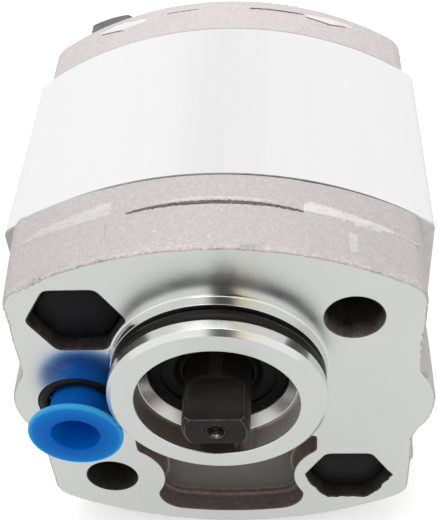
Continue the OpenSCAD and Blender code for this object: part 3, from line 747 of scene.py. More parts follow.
def shaded_wall_finish():
    """The front wall of the coupling's bore: oily and brown on the left, dark below the tang, which
    is painted shade and the tang's painted reflection, and lighter on the right, which is painted
    light, with smears along the wall. The share follows X, torn by noise."""
    made, tree, shader = finish_of("turned wall in shade", (0.30, 0.27, 0.25), 0.2, 0.32)
    smear = noise(tree, 420, 4, 0.6, (1, 0.25, 1))
    torn = worked(tree, "MULTIPLY_ADD", smear, 0.012, place_along(tree, "X"))
    # painted shade and painted reflection of the tang in the middle, painted light on the right
    colour = ramp(tree, spread(tree, torn, -0.006, 0.020, 0, 1),
                  [(0.0, (0.20, 0.16, 0.145)), (0.24, (0.15, 0.12, 0.105)),
                   (0.36, (0.06, 0.048, 0.042)), (0.54, (0.07, 0.056, 0.05)),
                   (0.64, (0.40, 0.34, 0.32)), (1.0, (0.62, 0.57, 0.55))])
    tree.links.new(colour, shader.inputs["Base Color"])
    bumped(tree, shader, smear, 0.05, 0.00002)
    return made


def sawn_finish():
    """The body's sawn end, darker on its left side than on its right, a painted reflection, with a
    painted shadow in the joint along its two arcs: where the larger of the distances from the two
    arcs' centres nears the arcs' radius. The shadow grows and fades along X."""
    made, tree, shader = finish_of("sawn body end", (0.57, 0.575, 0.55), 0.5, 0.42)
    fine = noise(tree, 500, 5, 0.65)
    across = place_along(tree, "X")
    # dull and clear are a painted reflection: the end darker on the left and lighter on the right
    dull = ramp(tree, fine, [(0.35, (0.47, 0.475, 0.45)), (0.65, (0.53, 0.535, 0.51))])
    clear = ramp(tree, fine, [(0.35, (0.70, 0.70, 0.67)), (0.65, (0.79, 0.785, 0.75))])
    sawn = mixed(tree, spread(tree, across, -0.03, 0.03, 0, 1), dull, clear)
    reach = worked(tree, "MAXIMUM", from_axis(tree, 0, MID_Z - ARC_DROP)[1],
                   from_axis(tree, 0, MID_Z + ARC_DROP)[1])
    near = spread(tree, reach, (ARC_R - 0.5) * MM, (ARC_R - 0.2) * MM, 0, 1)
    along = ramp(tree, spread(tree, across, -0.034, 0.034, 0, 1),
                 [(0.0, shade(WHITE, 0)), (0.04, shade(WHITE, 0.3)), (0.35, shade(WHITE, 0.8)),
                  (0.7, WHITE), (0.97, WHITE), (1.0, shade(WHITE, 0))])
    # painted shadow in the joint along the arcs, strongest towards the right
    painted_joint_shadow = ramp(tree, fine, [(0.35, (0.13, 0.12, 0.12)), (0.65, (0.24, 0.225, 0.225))])
    tree.links.new(mixed(tree, worked(tree, "MULTIPLY", near, along), sawn, painted_joint_shadow),
                   shader.inputs["Base Color"])
    bumped(tree, shader, noise(tree, 900, 3, 0.6, (1, 1, 0.1)), 0.2, 0.00003)
    return made


def rubber_finish(name, colour, shine):
    """Black rubber with a fine skin."""
    made, tree, shader = finish_of(name, colour, 0.0, 0.4, shine)
    fine = noise(tree, 2500, 4, 0.6)
    tree.links.new(spread(tree, fine, 0.3, 0.7, 0.34, 0.5), shader.inputs["Roughness"])
    bumped(tree, shader, fine, 0.1, 0.00003)
    return made


def bore_finish(name, rim, deep, rim_y, deep_y):
    """The wall of a hole in the casting: rough and brown at its mouth, and darker inside, which is
    painted shade.
    The colour runs from rim at rim_y to deep at deep_y, in metres, and noise tears its edge."""
    made, tree, shader = finish_of(name, deep, 0.1, 0.6, 0.15)
    torn = noise(tree, 700, 6, 0.7, (1, 0.6, 1))
    depth = worked(tree, "MULTIPLY_ADD", torn, 0.5 * (rim_y - deep_y), place_along(tree, "Y"))
    lit, dim = (ramp(tree, torn, [(0.35, shade(colour, 0.6)), (0.65, shade(colour, 1.4))])
                for colour in (rim, deep))
    tree.links.new(mixed(tree, spread(tree, depth, rim_y, deep_y, 0, 1), lit, dim),
                   shader.inputs["Base Color"])
    bumped(tree, shader, torn, 0.5, 0.00015)
    return made


def plug_finish():
    """Soft blue plastic that lets a little light through: deep blue in its neck and hollow, and
    lighter towards the thin rim of its flange, by the distance from its axis, which is painted light
    shining through the thin plastic."""
    made, tree, shader = finish_of("blue plug plastic", (0.004, 0.17, 0.58), 0.0, 0.42, 0.08)
    out = spread(tree, from_axis(tree, PORT_X, MID_Z)[1], 0.0035, 0.0083, 0, 1)
    # painted light: the flange lighter towards its thin rim, as light shining through the plastic
    colour = ramp(tree, out, [(0.0, (0.001, 0.24, 0.74)), (0.17, (0.001, 0.20, 0.68)),
                              (0.25, (0.001, 0.13, 0.56)), (0.52, (0.002, 0.165, 0.60)),
                              (0.82, (0.004, 0.22, 0.68)), (1.0, (0.06, 0.46, 0.92))])
    tree.links.new(colour, shader.inputs["Base Color"])
    shader.inputs["Subsurface Weight"].default_value = 0.5
    shader.inputs["Subsurface Radius"].default_value = (0.2, 0.6, 1.0)
    shader.inputs["Subsurface Scale"].default_value = 0.0015
    bumped(tree, shader, noise(tree, 500, 3, 0.5), 0.06, 0.00003)
    return made


cast = cast_finish("cast aluminium", 0.95)
# the rear cover's casting and trimmed flash are lighter copies of the front's: painted light
rear_cast_painted_light = cast_finish("cast aluminium of the rear cover", 1.12)
machined = machined_finish("milled face", 0.24, 0.75)
turned = machined_finish("turned boss", 0.19, 0.7)
turned_land = machined_finish("turned land", 0.27, 0.8)
extruded = extruded_finish()
trimmed = trimmed_finish("trimmed flash", 0.98)
rear_trimmed_painted_light = trimmed_finish("trimmed flash of the rear cover", 1.12)
scraped = trimmed_finish("scraped casting", 0.85)
stain_and_shadow = stain_and_shadow_finish()
body_end = sawn_finish()
# The cast pocket under the boss: its wall, floor and ledge are the raw casting darkened, painted
# shade of the recess
shaded_pocket_wall = dark_finish("raw casting in the pocket", (0.19, 0.15, 0.14), 0.2, 0.6, 900, 0.18,
                          shine=0.15)
shaded_pocket_floor = dark_finish("floor of the pocket", (0.18, 0.17, 0.155), 0.2, 0.6, 400, 0.08,
                           shine=0.15)
shaded_pocket_ledge = dark_finish("ledge of the pocket", (0.36, 0.31, 0.29), 0.2, 0.6, 900, 0.25)
# a drilled bore that darkens inwards: painted shade of the hole
bore_in_painted_shade = bore_finish("drilled bore in painted shade", (0.16, 0.135, 0.125), (0.042, 0.038, 0.037),
                        0.0002, 0.0026)
# a darker copy of the bore, painted deeper shade, for the hexagonal pockets and the lower left hole
bore_in_deeper_painted_shade = bore_finish("bore in deeper painted shade", (0.062, 0.050, 0.046), (0.036, 0.032, 0.031),
                         0.0002, 0.002)
turned_dark = shaded_wall_finish()
smeared_cone = dark_finish("smeared turned cone", (0.72, 0.70, 0.68), 0.95, 0.24, 110, 0.14, 0.004)
shaft_dark = shaft_finish()
inner_shaft = dark_finish("ground shaft steel", (0.30, 0.29, 0.28), 0.9, 0.3, 900, 0.1, 0.05)
worn_edge = dark_finish("worn steel edge", (0.09, 0.083, 0.075), 0.8, 0.35, 700, 0.8)
bolt_dark = dark_finish("blackened steel", (0.012, 0.0115, 0.012), 0.35, 0.5, 900, shine=0.15)
nut_dark = dark_finish("phosphated nut steel", (0.155, 0.15, 0.168), 0.5, 0.42, 900)
ringed = dark_finish("steel in the centre hole", (0.23, 0.20, 0.18), 1.0, 0.18, 900, 0.1)
bright = dark_finish("bright steel", (0.5, 0.5, 0.51), 0.95, 0.3, 1500)
bronze = dark_finish("bush bronze", (0.35, 0.22, 0.11), 0.9, 0.35, 1500)
alloy = dark_finish("bearing alloy", (0.42, 0.41, 0.40), 0.9, 0.35, 1500)
backup = dark_finish("backup plastic", (0.7, 0.68, 0.6), 0.0, 0.5, 900)
rubber = rubber_finish("ring rubber", (0.009, 0.0075, 0.0075), 0.2)
# the seal's rubber is darker than the ring's: painted shade of the seal deep in the bore
seal_rubber_in_painted_shade = rubber_finish("seal rubber in painted shade", (0.004, 0.004, 0.004), 0.09)
plug_blue = plug_finish()


# The two covers
def widening(side, x, z, along, flare):
    """How far the sides of a cover lean out past its corners, growing along its thickness: by
    flare on its left and on its right, from 15 mm past the middle on."""
    corners = np.clip((np.abs(side) - 0.25) / 0.4, 0, 1)
    past_lobe = np.clip((np.abs(z - MID_Z) - 15) / 7, 0, 1)
    return np.where(x < 0, flare[0], flare[1]) * corners * past_lobe * along


def skirt(skin, half_w, y0, y1, parting_y, flare=(0, 0), gate_proud=0.0, torn=0.0):
    """A cover's cast side: the outline carried from face to face, moved outwards by a draft both
    ways from the parting line, a low ridge along it, the slightly proud middle insert of the rear
    die, a flare of the two sides towards the back, the stub of the gate on its right side, and
    minus the chips that the mill tore from the front edge, which fade out within a millimetre.
    Gives the rims of its two flat faces."""
    row_step = 0.6
    ridge_step = 0.15
    loop = soft_loop(cover_points(half_w), 0.25, step=0.35)
    even = np.arange(y0 + EDGE + 0.4, y1 - EDGE - 0.2, row_step)
    even = even[np.abs(even - parting_y) > row_step + ridge_step]
    near = parting_y + np.arange(-row_step, row_step + 0.01, ridge_step)
    rows = np.sort(np.concatenate([even, near]))
    front = soft_profile([(-EDGE, y0, 0), (0, y0, EDGE), (0, y0 + EDGE, 0)], 4)
    back = soft_profile([(0, y1 - EDGE, 0), (0, y1, EDGE), (-EDGE, y1, 0)], 4)
    wall = np.stack([0 * rows, rows, 0 * rows + 1, 0 * rows], 1)
    profile = np.vstack([front, wall, back])
    y = profile[None, :, 1]
    x, z, side, rise = loop.T[:, :, None]
    draft = -DRAFT * np.abs(y - parting_y)
    ends = np.abs(rise) > 0.6
    amid = ends * (x > INSERT_LEFT) * (x < INSERT_RIGHT)
    ridge = RIDGE_H * np.exp(-((y - parting_y) / RIDGE_W) ** 2) * ends * (1 - amid)
    insert = INSERT_H * (y > parting_y) * amid
    wide = widening(side, x, z, (y - y0) / (y1 - y0), flare)
    gate = gate_proud * (side > 0.9) * np.exp(-((z - GATE_Z) / GATE_HALF_H) ** 8)
    gate = gate * np.clip((y - y0 - EDGE) / 0.3, 0, 1) * np.clip((y0 + GATE_END_Y - y) / 0.4, 0, 1)
    crumbs = np.abs(smooth_noise(len(loop), 0.9, 11))
    chips = np.clip(smooth_noise(len(loop), 9, 5) - 0.5, 0, 1.5)
    edge_fade = np.exp(-((y - y0) / CHIP_REACH) ** 2)
    missing = torn * (0.25 * crumbs + chips * crumbs)[:, None] * edge_fade
    shift = draft + ridge + insert + wide + gate - missing
    skin.band(loop, profile, CAST, shift)
    return moved(loop, shift[:, 0] - EDGE), moved(loop, shift[:, -1] - EDGE)


def laid(skin, finish, lift, ragged, seed, low, high):
    """A thin raised patch on the covers' upper arc: between two lines y(x) given as (x, y) points,
    its height is lift times a flat-topped bell across it, and its under side lies in the metal,
    by sunk. Noise tears its two long edges. Its ends close to a point."""
    sunk = 0.06
    step = 0.12
    low, high = np.array(low, float), np.array(high, float)
    count = max(40, int((low[-1, 0] - low[0, 0]) / step))
    u = np.linspace(0, 1, count)
    x = low[0, 0] + (low[-1, 0] - low[0, 0]) * u
    closing = np.clip(np.minimum(u, 1 - u) * count / 3, 0, 1)
    edge_low = np.interp(x, *low.T) + ragged * smooth_noise(count, 0.8, seed)
    edge_high = np.interp(x, *high.T) + ragged * smooth_noise(count, 0.8, seed + 1)
    middle = (edge_low + edge_high) / 2
    half = (edge_high - edge_low) / 2 * closing
    across = np.concatenate([np.linspace(-1, 1, 9), [0.4, -0.4]])[:, None]
    bell = np.concatenate([1 - np.linspace(-1, 1, 9) ** 6, [-0.6, -0.6]])[:, None]
    y = middle + half * across
    out = -sunk + (lift + sunk) * bell * closing
    a = np.arcsin(x / ARC_R)[None, :]
    centre_z = MID_Z - ARC_DROP
    on_front = np.clip(y / FRONT_T, 0, 1) * (y < FRONT_T)
    r = ARC_R + out + widening(np.sin(a), x, centre_z + ARC_R * np.cos(a), on_front, FRONT_FLARE)
    p = np.stack([r * np.sin(a), y, centre_z + r * np.cos(a)], -1)
    up = np.stack([np.sin(a) + 0 * y, 0 * y, np.cos(a) + 0 * y], -1)
    outward = up * np.where(bell > -0.1, 1, -1)[:, :, None]
    skin.grid(p, found_normals(p, outward), finish)


def hole_wall(skin, loop, y0, y1, finish):
    """A through hole's wall with its two rims rounded. Gives the rim on either face."""
    corners = [(-LIP, y0, 0), (0, y0, LIP), (0, y1, LIP), (-LIP, y1, 0)]
    skin.band(loop, soft_profile(corners, 3), finish)
    return moved(loop, -LIP)


def revolve(skin, x, z, corners, finish, count=160, steps=5, flip=False):
    """A profile of (radius, y, rounding) turned about an axis along Y at (x, z)."""
    a = np.arange(count) * 2 * np.pi / count
    loop = np.stack([0 * a + x, 0 * a + z, np.cos(a), np.sin(a)], 1)
    profile = soft_profile(corners, steps)
    if flip:
        profile = profile * [1, 1, -1, -1]
    skin.band(loop, profile, finish)
    return loop


def dowel_hole(skin, x, z, face_y, depth):
    """A drilled hole with a flat bottom, from a face at face_y; depth is signed along Y. Gives
    its rim on the face."""
    corners = [(0, face_y + depth, 0), (DOWEL_R, face_y + depth, 0.15), (DOWEL_R, face_y, LIP),
               (DOWEL_R + LIP, face_y, 0)]
    return moved(revolve(skin, x, z, corners, MACHINED, 48, 3, depth < 0), DOWEL_R + LIP)


def pilot_boss(skin):
    """The boss, from the bore behind the seal forwards: the seal's seat, the cone, the coupling's
    bore, the flat land, and outside the chamfer, the O-ring's groove and the foot. Gives its rims
    on the milled face and on the back."""
    mouth_y = -PILOT_H + EDGE
    cone_lip = CONE_R + LIP
    revolve(skin, 0, 0, [
        (BACK_BORE_R + LIP, FRONT_T, 0), (BACK_BORE_R, FRONT_T - LIP, 0),
        (BACK_BORE_R, SEAL_SEAT_Y, 0.2), (SEAL_R, SEAL_SEAT_Y, 0.3), (SEAL_R, CONE_Y[1], 0.5),
        (CONE_R, CONE_Y[0], 0.25), (cone_lip, CONE_Y[0], 0)], SMEARED, 240)
    revolve(skin, 0, 0, [
        (cone_lip, CONE_Y[0], 0), (COUPLING_R, CONE_Y[0], 0.12), (COUPLING_R, mouth_y, 0)],
        TURNED_DARK, 240)
    revolve(skin, 0, 0, [
        (COUPLING_R, mouth_y, 0), (COUPLING_R, -PILOT_H, 0.25),
        (PILOT_R - PILOT_CHAMFER, -PILOT_H, 0.15), (PILOT_R, -PILOT_H + PILOT_CHAMFER, 0.15),
        (PILOT_R, LAND_Y, 0)], LAND, 240)
    boss = revolve(skin, 0, 0, [
        (PILOT_R, LAND_Y, 0), (PILOT_R, GROOVE_Y[0], 0.1), (GROOVE_R, GROOVE_Y[0], 0.25),
        (GROOVE_R, GROOVE_Y[1], 0.25), (PILOT_R, GROOVE_Y[1], 0.1), (PILOT_R, 0, BOSS_FOOT),
        (PILOT_R + BOSS_FOOT, 0, 0)], TURNED, 240)
    return moved(boss, PILOT_R + BOSS_FOOT), moved(boss, BACK_BORE_R + LIP)


def bolt_pocket(skin, x, z):
    """A hexagonal pocket with its bolt hole. The lower wall of the right one is torn by noise.
    Gives its rims on the milled face and on the back."""
    pocket = soft_loop(hexagon_points(x, z, POCKET_AF), POCKET_CORNER, True)
    if x > 0:
        lower = np.clip((z + 1.5 - pocket[:, 1]) / 2, 0, 1)
        pocket = moved(pocket, 0.16 * lower * smooth_noise(len(pocket), 1.1, 8))
    corners = [(-EDGE, 0, 0), (0, 0, EDGE), (0, POCKET_DEPTH, POCKET_CORNER),
               (POCKET_CORNER, POCKET_DEPTH, 0)]
    # the hexagonal pocket's wall takes the bore in deeper painted shade
    skin.band(pocket, soft_profile(corners, 4), DEEPER_SHADE)
    rim = hole_wall(skin, hole_loop(x, z, BOLT_HOLE_R, 0.5), POCKET_DEPTH, FRONT_T, BORE)
    skin.flat(POCKET_DEPTH, -1, moved(pocket, POCKET_CORNER), [rim], BORE)
    return moved(pocket, -EDGE), rim


def relief(skin):
    """The cast pocket: a shallow step with a ledge, and its floor. Gives its rim on the face."""
    top = soft_loop(relief_points(0), 0.5, True)
    low = soft_loop(relief_points(RELIEF_LEDGE), 0.5, True)
    skin.band(top, soft_profile([(-LIP, 0, 0), (0, 0, LIP), (0, RELIEF_STEP, RELIEF_ROOT),
                                 (RELIEF_ROOT, RELIEF_STEP, 0)], 4), SHADED)
    skin.flat(RELIEF_STEP, -1, moved(top, RELIEF_ROOT), [moved(low, -RELIEF_ROOT)], LEDGE)
    skin.band(low, soft_profile([(-RELIEF_ROOT, RELIEF_STEP, 0), (0, RELIEF_STEP, RELIEF_ROOT),
                                 (0, RELIEF_DEPTH, RELIEF_FLOOR_ROOT),
                                 (RELIEF_FLOOR_ROOT, RELIEF_DEPTH, 0)], 4), SHADED)
    skin.flat(RELIEF_DEPTH, -1, moved(low, RELIEF_FLOOR_ROOT), [], POCKET_FLOOR)
    return moved(top, -LIP)


def outlet_port(skin):
    """The port with its O-ring's recess. Gives its rim on the milled face."""
    port = revolve(skin, PORT_X, MID_Z, [
        (0, PORT_DEPTH, 0), (PORT_R, PORT_DEPTH, 0.3), (PORT_R, PORT_RECESS_DEPTH, 0.15),
        (PORT_RECESS_R, PORT_RECESS_DEPTH, 0.2), (PORT_RECESS_R, 0, LIP),
        (PORT_RECESS_R + LIP, 0, 0)], MACHINED, 120)
    return moved(port, PORT_RECESS_R + LIP)


def front_cover():
    """The front casting: its side, its milled face, the turned pilot boss, the hexagonal pockets,
    the holes, the port and the cast pocket under the boss."""
    skin = Skin()
    face_rim, back_rim = skirt(skin, FRONT_HALF_W, 0, FRONT_T, FRONT_FLASH_Y, FRONT_FLARE,
                               GATE_PROUD, CHIP_DEPTH)
    rims = [pilot_boss(skin)] + [bolt_pocket(skin, *place) for place in CLAMP_PLACES]
    face_holes = [rim[0] for rim in rims]
    back_holes = [rim[1] for rim in rims]
    for x, z in MOUNT_PLACES:
        # the lower left mount hole takes the bore in deeper painted shade
        rim = hole_wall(skin, hole_loop(x, z, MOUNT_HOLE_R), 0, FRONT_T, BORE if x > 0 else DEEPER_SHADE)
        face_holes.append(rim)
        back_holes.append(rim)
    face_holes += [outlet_port(skin), relief(skin)]
    back_holes += [dowel_hole(skin, *place, FRONT_T, -DOWEL_DEPTH) for place in DOWEL_PLACES]
    skin.flat(0, -1, face_rim, face_holes, MACHINED)
    skin.flat(FRONT_T, 1, back_rim, back_holes, MACHINED)
    skin.piece("front_cover_casting",
               [machined, cast, shaded_pocket_wall, bore_in_painted_shade, turned_dark, shaded_pocket_floor, shaded_pocket_ledge,
                turned, bore_in_deeper_painted_shade, turned_land, smeared_cone],
               "housing", "cast_cover", ("front_cover",))


def rear_cover():
    """The rear casting with the raised suction boss and its port, cut to the thread's root."""
    skin = Skin()
    face_rim, back_rim = skirt(skin, REAR_HALF_W, REAR_Y, BACK_Y, REAR_FLASH_Y)
    rims = [hole_wall(skin, hole_loop(*place, r), REAR_Y, BACK_Y, BORE)
            for places, r in ((CLAMP_PLACES, BOLT_HOLE_R), (MOUNT_PLACES, MOUNT_HOLE_R))
            for place in places]
    dowels = [dowel_hole(skin, *place, REAR_Y, DOWEL_DEPTH) for place in DOWEL_PLACES]
    end_y = BACK_Y + SUCTION_BOSS_H
    boss = revolve(skin, SUCTION_X, MID_Z, [
        (SUCTION_R + LIP, REAR_Y, 0), (SUCTION_R, REAR_Y, LIP),
        (SUCTION_R, end_y - SUCTION_DEPTH, 0.2), (SUCTION_ROOT_R, end_y - SUCTION_DEPTH, 0.3),
        (SUCTION_ROOT_R, end_y - 0.2, 0.1), (SUCTION_ROOT_R + 0.2, end_y, 0.1),
        (SUCTION_BOSS_R, end_y, 0.4), (SUCTION_BOSS_R, BACK_Y, SUCTION_FILLET),
        (SUCTION_BOSS_R + SUCTION_FILLET, BACK_Y, 0)], MACHINED, 160, 5, True)
    skin.flat(REAR_Y, -1, face_rim, rims + dowels + [moved(boss, SUCTION_R + LIP)], MACHINED)
    skin.flat(BACK_Y, 1, back_rim, rims + [moved(boss, SUCTION_BOSS_R + SUCTION_FILLET)], CAST)
    skin.piece("rear_cover_casting", [machined, rear_cast_painted_light, shaded_pocket_wall, bolt_dark], "housing",
               "cast_cover", ("rear_cover",))


def casting_marks():
    """The marks that the die and the trimming left on top of the two covers, each with its
    finish, how proud it stands, how ragged it is, its seed, and its lower and upper line. The dark
    seam along each parting line is also the painted shadow of its step."""
    flash = Skin()
    for mark in (
            (SCRAPED, 0.05, 0.14, 21,
             [(-31.3, 10.0), (-28.2, 10.1), (-24.5, 9.6), (-21.1, 9.6), (-15.7, 10.1)],
             [(-31.3, 10.3), (-28.5, 11.7), (-24.9, 12.1), (-21.5, 12.6), (-15.7, 13.6)]),
            (TRIMMED, 0.08, 0.10, 23,
             [(14.4, 9.7), (17.2, 9.3), (20.3, 9.2), (23.5, 9.0), (26.6, 9.1), (29.6, 9.8)],
             [(14.4, 11.2), (15.6, 12.3), (20.4, 11.6), (23.5, 11.2), (26.7, 10.9), (29.6, 10.0)]),
            (SCRAPED, 0.13, 0.03, 43, [(29.3, 9.7), (33.0, 9.1)], [(29.3, 10.0), (33.0, 9.4)]),
            (TRIMMED, 0.14, 0.03, 25, [(-32.0, 9.9), (-29.6, 10.0)],
             [(-32.0, 10.2), (-29.6, 10.3)]),
            (UNTRIMMED, 0.10, 0.0, 27, [(-16.1, 10.0), (-15.5, 10.0)],
             [(-16.1, 15.6), (-15.5, 15.6)]),
            (UNTRIMMED, 0.06, 0.0, 28, [(-16.8, 4.2), (-16.4, 4.2)],
             [(-16.8, 9.3), (-16.4, 9.3)]),
            (SCRAPED, 0.06, 0.15, 29, [(21.5, 2.8), (22.9, 2.6)], [(21.5, 7.2), (22.9, 7.4)]),
            (SCRAPED, 0.085, 0.12, 31, [(-9, 10.7), (0, 11.0), (11, 10.7)],
             [(-9, 11.1), (-3, 11.7), (5, 11.7), (11, 11.0)]),
            (REAR_TRIMMED_PAINTED_LIGHT, 0.12, 0.10, 33, [(-24.9, 66.2), (-19.3, 64.7), (-14.9, 65.5)],
             [(-24.9, 66.7), (-20.6, 67.5), (-14.9, 66.5)]),
            (REAR_TRIMMED_PAINTED_LIGHT, 0.12, 0.10, 35, [(15.9, 65.7), (20.7, 64.9), (25.4, 66.0)],
             [(15.9, 66.4), (20.8, 67.1), (25.4, 66.6)])):
        laid(flash, *mark)
    flash.piece("trimmed_flash", [trimmed, scraped, cast, rear_trimmed_painted_light], "housing",
                "cast_cover")
    # the dark seams: stain and the painted shadow of the step at the parting line
    seam = Skin()
    x = np.linspace(-13.6, 14.9, 30)
    bow = np.clip(1 - ((x - 0.6) / 14.3) ** 2, 0, 1)
    for mark in (
            (0, 0.16, 0.05, 41, np.stack([x, 9.42 + 0.3 * bow], 1),
             np.stack([x, 9.46 + 1.3 * bow ** 0.7], 1)),
            (0, 0.1, 0.03, 45, [(-24.7, 66.0), (-19.4, 64.4)], [(-24.7, 66.2), (-19.4, 64.6)]),
            (0, 0.1, 0.02, 47, [(-11.1, 66.2), (-4.4, 66.2)], [(-11.1, 66.35), (-4.4, 66.35)]),
            (0, 0.12, 0.04, 49, [(5.1, 66.0), (15.9, 66.0)], [(5.1, 66.35), (15.9, 66.3)]),
            (0, 0.1, 0.03, 51, [(16.0, 65.4), (20.7, 64.6), (24.0, 65.6)],
             [(16.0, 65.6), (20.7, 64.85), (24.0, 65.8)])):
        laid(seam, *mark)
    seam.piece("stained_parting_line", [stain_and_shadow], "housing", "cast_cover")


# The plug, the threads and the centre hole
def port_plug():
    """The moulded plug: a flange with a round rim, a hollow neck and a bead that grips."""
    skin = Skin()
    front, back = PLUG_FLANGE_Y
    bead_r = PLUG_BEAD_R
    nose_r = PLUG_HOLLOW_R[0] + 0.1
    revolve(skin, PORT_X, MID_Z, [
        (0, PLUG_FLOOR_Y, 0), (PLUG_HOLLOW_R[0], PLUG_FLOOR_Y, 0.5), (PLUG_HOLLOW_R[1], front, 0.3),
        (PLUG_FLANGE_R, front, 0.42), (PLUG_FLANGE_R, back, 0.42), (PLUG_NECK_R, back, 0.5),
        (PLUG_NECK_R, 2.7, 0.3), (bead_r, 3.0, 0.2), (bead_r, 4.4, 0.3), (bead_r - 0.6, 7.4, 0.4),
        (nose_r, PLUG_END_Y, 0.3), (0, PLUG_END_Y, 0)], 0, 160, 6)
    skin.piece("port_plug_moulded", [plug_blue], "plug", "plug_plastic", ("port_plug",))


def thread(skin, x, z, root_r, crest_r, back_r, y0, y1, pitch, chamfer):
    """A thread about an axis along Y: at angle a and height y its radius runs in a rounded
    triangle wave of y / pitch - a / (2 pi) between root_r and crest_r, and its other side is the
    cylinder back_r. An outside thread has its root inside its crest. The crest falls to the root
    over the chamfer at the end y1."""
    round_count = 72
    rows_per_turn = 8
    a = (np.arange(round_count) * 2 * np.pi / round_count)[:, None]
    y = np.linspace(y0, y1, int((y1 - y0) / pitch * rows_per_turn))[None, :]
    wave = 0.5 - 0.5 * np.cos(2 * np.pi * (y / pitch - a / (2 * np.pi)))
    wave = np.clip(wave * 1.25 - 0.1, 0, 1) * np.clip((y1 - y) / chamfer, 0, 1)
    r = root_r + (crest_r - root_r) * wave
    way = np.sign(crest_r - root_r)
    spoke = np.stack([np.cos(a) + 0 * y, 0 * a + 0 * y, np.sin(a) + 0 * y], -1)
    centre = np.stack([x + 0 * r, y + 0 * r, z + 0 * r], -1)
    p = centre + spoke * r[:, :, None]
    skin.grid(p, found_normals(p, spoke * way), 0)
    back = centre + spoke * back_r
    skin.grid(back, -way * spoke, 0)
    for end, facing in ((0, -1.0), (-1, 1.0)):
        ring = np.stack([p[:, end], back[:, end]], 1)
        skin.grid(ring, np.broadcast_to([0.0, facing, 0.0], ring.shape), 0)


def threads():
    """The bolts' ends past the nuts, and the thread of the suction port. Each stands on the plain
    cylinder of its bolt or port, which hides its other side."""
    ends = Skin()
    root_r = BOLT_R - THREAD_DEEP
    for x, z in CLAMP_PLACES:
        thread(ends, x, z, root_r, BOLT_R, root_r - 0.5, NUT_Y + NUT_H - 1.0, BOLT_END_Y - 0.25,
               THREAD_PITCH, 0.7)
    ends.piece("bolt_threads", [nut_dark], "housing", "black_steel")
    port = Skin()
    end_y = BACK_Y + SUCTION_BOSS_H
    thread(port, SUCTION_X, MID_Z, SUCTION_ROOT_R - 0.15, SUCTION_CORE_R, SUCTION_ROOT_R,
           end_y - SUCTION_DEPTH + 0.3, end_y - 0.2, SUCTION_PITCH, 0.9)
    port.piece("suction_thread", [machined], "housing", "cast_cover")


def centre_drilling():
    """The lathe's centre hole in the shaft's end: a ringed cone with a dark bottom, as a thin
    cup that is closed behind. Its profile is given by y past the shaft's end and by radius."""
    round_count = 64
    depth = 2.3
    ring_h = 0.055
    ring_step = 0.5
    skin = Skin()
    a = np.arange(round_count) * 2 * np.pi / round_count
    loop = np.stack([0 * a, 0 * a, np.cos(a), np.sin(a)], 1)
    past_end = np.linspace(0, depth, 40)
    y = SHAFT_END_Y + past_end
    r = np.interp(past_end, [0, 0.1, 1.8, depth], [1.66, 1.55, 0.80, 0.74])
    r = r + ring_h * np.sin(2 * np.pi * y / ring_step)
    inner = np.stack([r, y, 0 * y - 1, 0 * y - 0.4], 1)
    outer = np.stack([r[[-1, 0]] + 0.15, y[[-1, 0]], [1.0, 1.0], [0.0, 0.0]], 1)
    skin.band(loop, np.vstack([inner, outer, inner[:1]]), 0)
    skin.piece("centre_drilling", [ringed], "drive_shaft", "shaft_steel")


# Copies of the CAD's pieces
def on_the_outside(at):
    """The edges round the two ends of the body, and not those of its bores."""
    past_arc = np.hypot(at[:, 0], np.abs(at[:, 2] - MID_Z) + ARC_DROP) > ARC_R - 1
    return past_arc | (np.abs(at[:, 0]) > BODY_HALF_W - 1)


def everywhere(at):
    """All the sharp edges."""
    return at[:, 1] > -np.inf


def on_the_tang(at):
    """The sharp edges of the drive tang but for those at its root."""
    return at[:, 1] < -TANG_ROOT - 1


def reshaped(piece, change):
    """Gives the points of a piece new places, which change works out from the old, in metres."""
    at = np.zeros(len(piece.data.vertices) * 3, np.float32)
    piece.data.vertices.foreach_get("co", at)
    piece.data.vertices.foreach_set("co", change(at.reshape(-1, 3)).ravel())


def narrow_bolts(at):
    """Each bolt's head drawn in to HEAD_AF, and its end past the nut to the thread's root."""
    for x, z in CLAMP_PLACES:
        across = at[:, ::2] - np.array([x, z]) * MM
        apart = np.hypot(*across.T)
        rod = apart < 1.2 * BOLT_R * MM
        tip = (at[:, 1] > NUT_Y * MM) & rod
        at[tip, ::2] -= across[tip] * THREAD_DEEP / BOLT_R
        head = (at[:, 1] < POCKET_DEPTH * MM) & ~rod & (apart < HEX_AF * MM)
        at[head, ::2] -= across[head] * (1 - HEAD_AF / HEX_AF)
    return at


def narrow_tang(at):
    """The tang drawn in to TANG_W, and the crown of its two round sides flattened to TANG_TOP."""
    tang = at[:, 1] < -TANG_ROOT * MM
    crown = np.maximum(np.abs(at[:, 2]) - TANG_HALF_T * MM, 0)
    at[tang, 0] *= TANG_W / SHAFT_D
    at[tang, 2] -= np.sign(at[tang, 2]) * crown[tang] * (1 - TANG_TOP)
    return at


def pump_body():
    """The extruded body with its sawn ends and its bores."""
    body = softened("pump_body", "extruded_body_profile", 0.28, on_the_outside,
                    [extruded, body_end, bore_in_painted_shade], worn=SAWN)
    faces = body.data.polygons
    bores = ~on_the_outside(np.array([tuple(f.center) for f in faces]) / MM)
    ends = np.array([abs(f.normal.y) for f in faces]) > 0.9
    finish = np.where(ends, SAWN, np.where(bores, BORED, SKIN))
    faces.foreach_set("material_index", finish.astype(np.int32))


